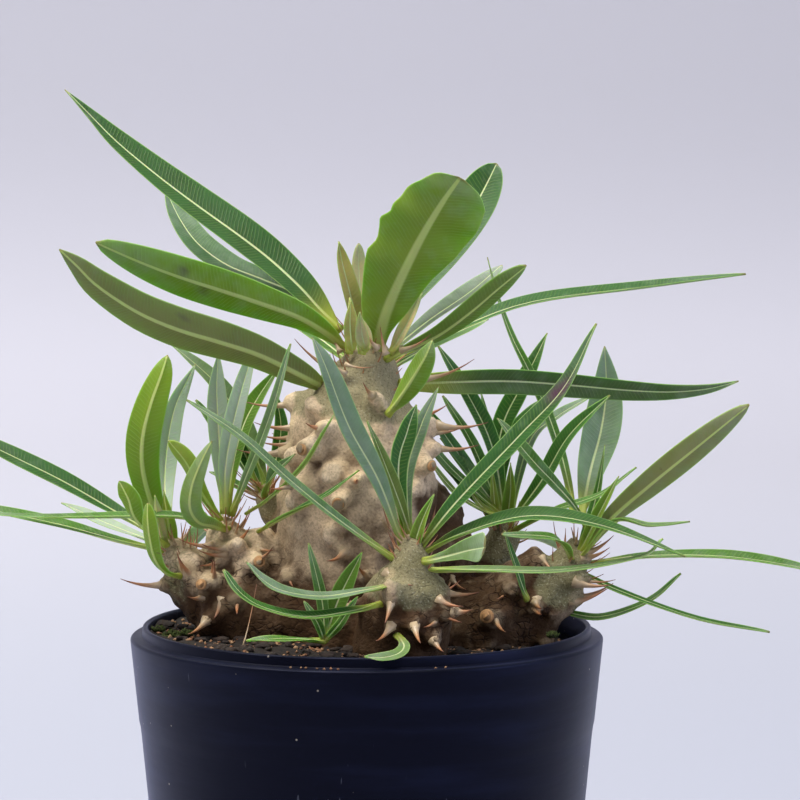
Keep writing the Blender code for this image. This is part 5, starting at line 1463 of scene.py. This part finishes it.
def add_moss(bm, middle, radius, draw):
    """Adds a cushion of moss: short leaflets that lean outwards from a round patch."""
    for _ in range(MOSS_LEAFLETS):
        r, a = radius * draw.random() ** 0.7, draw.uniform(0, 2 * pi)
        foot = middle + Vector((r * cos(a), r * sin(a), -0.8 - 0.5 * r))
        lean = Vector((cos(a), sin(a), 0)) * MOSS_LEAN * r / radius
        sway = Vector((draw.uniform(-MOSS_SWAY, MOSS_SWAY), draw.uniform(-MOSS_SWAY, MOSS_SWAY), 0.9))
        top = foot + (lean + sway) * draw.uniform(*MOSS_LENGTH)
        add_rings(bm, round_rings([foot, (foot + top) / 2, top], MOSS_RADII, MOSS_SIDES))


def make_moss(look, draw):
    """The cushions of moss between the arms and the rim."""
    bm = bmesh.new()
    for middle in MOSS:
        add_moss(bm, seen(*middle[:3]), middle[3], draw)
    moss = new_object("moss", bm, loose_grit("living_moss", (look.moss, look.moss_light, look.mix), 1.2))
    write_readings(moss.data, {"pick": [draw.random() for _ in moss.data.vertices]})
    return finished(moss, "soil")


def make_paper(look):
    """A round sweep of background paper: flat in the middle, then curving up to an upright wall."""
    flat, bend = PAPER_FLAT * look.radius, PAPER_BEND * look.radius
    profile = [(flat * i / 6, 0.0) for i in range(1, 7)]
    profile += [(flat + bend * sin(a), bend * (1 - cos(a))) for a in (radians(6 * i) for i in range(1, 16))]
    profile.append((flat + bend, PAPER_WALL * look.radius))
    bm = bmesh.new()
    turns = [(cos(2 * pi * i / SWEEP_SIDES), sin(2 * pi * i / SWEEP_SIDES)) for i in range(SWEEP_SIDES)]
    rings = [[Vector((r * x, r * y, z)) / MM for x, y in turns] for r, z in profile]
    loops = add_rings(bm, rings, capped=False)
    bm.faces.new(loops[0])
    sweep = new_object("paper_sweep", bm, studio_paper(look))
    runs, run = [], 0.0
    for (r, z), (last_r, last_z) in zip(profile, [profile[0]] + profile):
        run += ((r - last_r) ** 2 + (z - last_z) ** 2) ** 0.5
        runs += [run / look.radius] * SWEEP_SIDES
    write_readings(sweep.data, {"run": runs})


def colour_property(name, description, code):
    """A colour that starts from an sRGB hex code."""
    return FloatVectorProperty(name=name, description=description, default=hex_colour(code),
                               subtype="COLOR", min=0.0, max=1.0)


def length_property(name, description, default, least=0.0):
    """A length in metres."""
    return FloatProperty(name=name, description=description, default=default, min=least, unit="LENGTH")


def power_property(name, description, default):
    """A lamp's power in watts."""
    return FloatProperty(name=name, description=description, default=default, min=0.0, subtype="POWER")


class PotLook(bpy.types.PropertyGroup):
    """The pot's sizes and colours."""

    sides: IntProperty(name="Sides", description="Flat sides round the pot", default=192, min=24)
    out_of_round: length_property("Out of round", "How far the thin rim bends out of true", 0.0002)
    plastic: colour_property("Plastic", "Blue-black plastic", "#090A12")
    gleam: colour_property("Gleam", "What the plastic mirrors", "#A3ADEA")
    # Partly a dusty bloom and partly painted sheen.
    dust_and_sheen: colour_property("Haze", "Dusty bloom on the plastic", "#232A46")
    scuff: colour_property("Scuffs", "Fine scratches", "#6E7280")
    dust: colour_property("Dust", "Pale specks", "#B9AFA0")


class BarkLook(bpy.types.PropertyGroup):
    """The bark's grain, its spines and their colours."""

    grain: length_property("Grain", "Size of the grid that the bark is grown on", 0.00065, 0.0003)
    beige: colour_property("Beige", "Bark in the light", "#DCC39F")
    grey: colour_property("Grey", "Clouds of greyer bark", "#BFAB8D")
    tan: colour_property("Tan", "Warmer patches and the middle of a spine", "#AE8A62")
    # Brown near the soil, partly the bark's own and partly painted shade, and painted shade in the hollows
    # and the shade patches.
    brown: colour_property("Brown", "Bark near the soil and in the hollows", "#442B13")
    dark: colour_property("Dark", "Pores, cracks and rings", "#24140A")
    cream: colour_property("Cream", "Ends of the warts", "#CDB892")
    # A painted highlight on the crests of the bark.
    crest_highlight: colour_property("Crests", "Bark that stands out", "#E4CFAE")
    foot: colour_property("Feet", "Feet of the spines", "#BDA888")
    felt: colour_property("Felt", "Grey-green felt near the tips", "#807D5B")
    fleck: colour_property("Flecks", "White hairs in the felt", "#BDB99B")
    orange: colour_property("Orange", "Middle of a redder spine", "#B4693A")
    brown_point: colour_property("Point", "Point of a spine", "#74432A")
    scar_face: colour_property("Scar", "Face of a broken spine", "#B58A5C")


class LeafLook(bpy.types.PropertyGroup):
    """The leaves' ribs, veins and colours."""

    rib_width: FloatProperty(name="Rib width", description="Width of the midribs against their usual width",
                             default=1.0, min=0.0, subtype="FACTOR")
    vein_spacing: length_property("Vein spacing", "Distance between side veins", 0.0009, 0.0001)
    upper: colour_property("Upper side", "Upper side of a blade", "#33602A")
    upper_warm: colour_property("Upper side, yellow", "Upper side of a yellower blade", "#5F8A16")
    upper_dark: colour_property("Dark patches", "Darker clouds in the green", "#2B4A14")
    underside: colour_property("Underside", "Underside of a blade", "#738F38")
    underside_warm: colour_property("Underside, yellow", "Underside of a yellower blade", "#84A41C")
    vein: colour_property("Veins", "Side veins", "#93B04E")
    rib: colour_property("Midrib", "Midrib", "#D2DCA6")
    rib_under: colour_property("Midrib beneath", "Midrib on the underside", "#CDD886")
    margin: colour_property("Margin", "Thin edge of a blade", "#A2BC74")
    bloom: colour_property("Bloom", "Bluish wax on the skin", "#B2BFAF")
    stalk: colour_property("Stalk", "Foot of a leaf", "#A5AE45")
    bronze: colour_property("Bronze", "Young and old blades", "#D9BE78")
    # Purple-brown blushes, also painted shade over the blades of the shadow tone.
    blush_and_shade: colour_property("Blush", "Purple-brown blush on a few blades", "#5A3A4E")
    speck: colour_property("Specks", "Brown specks and tips", "#7A6038")


class SoilLook(bpy.types.PropertyGroup):
    """The loose grains on the soil and their colours."""

    chips: IntProperty(name="Chips", description="Pieces of bark on the soil", default=420, min=0)
    pumice: IntProperty(name="Pumice", description="Grains of pumice on the soil", default=1500, min=0)
    chip_size: length_property("Chip size", "Length of a bark chip", 0.0030)
    pumice_size: length_property("Pumice size", "Width of a grain", 0.0009)
    mix: colour_property("Mix", "Fine dark mix", "#1E1510")
    mix_light: colour_property("Mix, light", "Dry crumbs", "#2D211A")
    mix_deep: colour_property("Mix, deep", "Damp hollows", "#15100E")
    chip: colour_property("Chips", "Bark chips", "#221915")
    chip_light: colour_property("Chips, light", "Faded bark chips", "#3A2E27")
    grit: colour_property("Pumice", "Reddish pumice", "#86583C")
    grit_light: colour_property("Pumice, light", "Pale pumice", "#A58564")
    moss: colour_property("Moss", "Moss", "#2F3A12")
    moss_light: colour_property("Moss, light", "Young moss", "#4D5C22")


class StageLook(bpy.types.PropertyGroup):
    """The studio round the plant."""

    radius: length_property("Radius", "The size of the sweep of paper", 3.2)
    # Painted shade by the pot, darker than where the paper starts to rise.
    paper_near_shaded: colour_property("Paper, near", "Background paper by the pot", "#AAAEBC")
    paper_far: colour_property("Paper, far", "Background paper where it starts to rise", "#D5D6E2")
    # Painted shade up the wall.
    paper_top_shaded: colour_property("Paper, top", "Background paper on the wall", "#C2C3CF")
    air: colour_property("Air", "Soft light from all round", "#E6E4E2")
    air_strength: FloatProperty(name="Air strength", description="Brightness of the soft light", default=0.46)
    key_power: power_property("Key power", "Watts of the large soft light", 42.0)
    fill_power: power_property("Fill power", "Watts of the low fill light", 6.0)
    wall_power: power_property("Wall power", "Watts of the light on the wall of paper", 14.0)
    key_colour: colour_property("Key colour", "Colour of the large soft light", "#FFFBF4")
    fill_colour: colour_property("Fill colour", "Colour of the low fill light", "#C9D6FF")


class MakePot(bpy.types.Operator):
    """Make the black nursery pot"""

    bl_idname = "pachypodium.make_pot"
    bl_label = "Pot"

    def execute(self, context):
        make_pot(context.scene.pachypodium_pot)
        return {"FINISHED"}


class MakeBark(bpy.types.Operator):
    """Make the bark, its scars and all the spines"""

    bl_idname = "pachypodium.make_bark"
    bl_label = "Bark and spines"

    def execute(self, context):
        look = context.scene.pachypodium_bark
        draw = random.Random(SEED)
        rough = grow("rough_bark", stem_skins(), 2 * look.grain)
        warts, spines = plan_spines(draw, tree_of(rough))
        bpy.data.objects.remove(rough)
        make_bark(look, warts)
        make_scars(look, warts)
        spines += [(seen(*root), seen(*point), radius) for root, point, radius in CROWN_NEEDLES]
        for rows in TIPS.values():
            spines += list(tip_spines(rows, draw))
        make_spines(look, spines, draw)
        return {"FINISHED"}


class MakeLeaves(bpy.types.Operator):
    """Make the leaves of every growing tip and of the seedling"""

    bl_idname = "pachypodium.make_leaves"
    bl_label = "Leaves"

    def execute(self, context):
        look = context.scene.pachypodium_leaves
        skins = [leaf_skin("waxy_leaf_upper", look, False), leaf_skin("waxy_leaf_underside", look, True)]
        draw = random.Random(SEED)
        for crown, rows in LEAVES.items():
            make_leaves("leaves_" + crown.removeprefix("crown_"), crown, rows, skins, draw)
        return {"FINISHED"}


class MakeSoil(bpy.types.Operator):
    """Make the potting mix, the chips and pumice on it, and the moss"""

    bl_idname = "pachypodium.make_soil"
    bl_label = "Soil"

    def execute(self, context):
        look = context.scene.pachypodium_soil
        draw = random.Random(SEED)
        bark = tree_of(bpy.data.objects["bark"])
        make_soil(look)
        chips = loose_grit("composted_bark_chips", (look.chip, look.chip_light, look.mix_deep), 1.5)
        scatter("bark_chips", look.chips, look.chip_size / MM, 0.4, chips, bark, draw)
        grit = loose_grit("crushed_pumice", (look.grit, look.grit_light, look.chip), 0.8)
        scatter("pumice", look.pumice, look.pumice_size / MM, 0.8, grit, bark, draw, SHOULDER_GRAINS)
        make_moss(look, draw)
        return {"FINISHED"}


class MakeStage(bpy.types.Operator):
    """Make the background paper, the lights and the camera"""

    bl_idname = "pachypodium.make_stage"
    bl_label = "Stage"

    def execute(self, context):
        look = context.scene.pachypodium_stage
        make_paper(look)
        world = bpy.data.worlds.new("studio_air")
        world.use_nodes = True
        air = world.node_tree.nodes["Background"]
        air.inputs["Color"].default_value = (*look.air, 1.0)
        air.inputs["Strength"].default_value = look.air_strength
        context.scene.world = world
        lights = [("key_light", look.key_power, 1.1, look.key_colour, (-0.50, -0.22, 1.55), AIM * MM),
                  ("fill_light", look.fill_power, 0.7, look.fill_colour, (1.2, -0.5, 0.5), AIM * MM),
                  ("wall_light", look.wall_power, 1.4, look.key_colour, (-0.5, 1.0, 1.5),
                   Vector((-0.5, 2.3, 0.2)))]
        for name, power, size, colour, place, aim in lights:
            lamp = bpy.data.lights.new(name, "AREA")
            lamp.energy = power
            lamp.size = size
            lamp.color = colour
            light = bpy.data.objects.new(name, lamp)
            light.location = place
            light.rotation_mode = "QUATERNION"
            light.rotation_quaternion = (aim - light.location).to_track_quat("-Z", "Y")
            context.scene.collection.objects.link(light)
        lens = bpy.data.cameras.new("camera")
        lens.lens = LENS
        lens.sensor_width = SENSOR
        lens.clip_end = 20.0
        camera = bpy.data.objects.new("camera", lens)
        camera.location = EYE * MM
        camera.rotation_mode = "QUATERNION"
        camera.rotation_quaternion = (AIM - EYE).to_track_quat("-Z", "Y")
        context.scene.collection.objects.link(camera)
        context.scene.camera = camera
        context.scene.view_settings.view_transform = "Standard"
        return {"FINISHED"}


class PlantPanel(bpy.types.Panel):
    """The plant's pieces, one button each, with their settings"""

    bl_idname = "VIEW3D_PT_pachypodium"
    bl_label = "Potted pachypodium"
    bl_space_type = "VIEW_3D"
    bl_region_type = "UI"
    bl_category = "Pachypodium"

    def draw(self, context):
        for operator, group in STEPS:
            box = self.layout.box()
            box.operator(operator.bl_idname)
            settings = getattr(context.scene, group)
            for name in settings.bl_rna.properties.keys():
                if name not in ("rna_type", "name"):
                    box.prop(settings, name)


GROUPS = {
    "pachypodium_pot": PotLook,
    "pachypodium_bark": BarkLook,
    "pachypodium_leaves": LeafLook,
    "pachypodium_soil": SoilLook,
    "pachypodium_stage": StageLook,
}
STEPS = [
    (MakePot, "pachypodium_pot"),
    (MakeBark, "pachypodium_bark"),
    (MakeLeaves, "pachypodium_leaves"),
    (MakeSoil, "pachypodium_soil"),
    (MakeStage, "pachypodium_stage"),
]


def register():
    """Adds the settings, the operators and the panel."""
    for name, group in GROUPS.items():
        bpy.utils.register_class(group)
        setattr(bpy.types.Scene, name, PointerProperty(type=group))
    for operator, _ in STEPS:
        bpy.utils.register_class(operator)
    bpy.utils.register_class(PlantPanel)


def unregister():
    """Takes away what register added."""
    bpy.utils.unregister_class(PlantPanel)
    for operator, _ in STEPS:
        bpy.utils.unregister_class(operator)
    for name, group in GROUPS.items():
        delattr(bpy.types.Scene, name)
        bpy.utils.unregister_class(group)


def main():
    """Makes every piece in order."""
    register()
    bpy.ops.pachypodium.make_pot()
    bpy.ops.pachypodium.make_bark()
    bpy.ops.pachypodium.make_leaves()
    bpy.ops.pachypodium.make_soil()
    bpy.ops.pachypodium.make_stage()


if __name__ == "__main__":
    main()
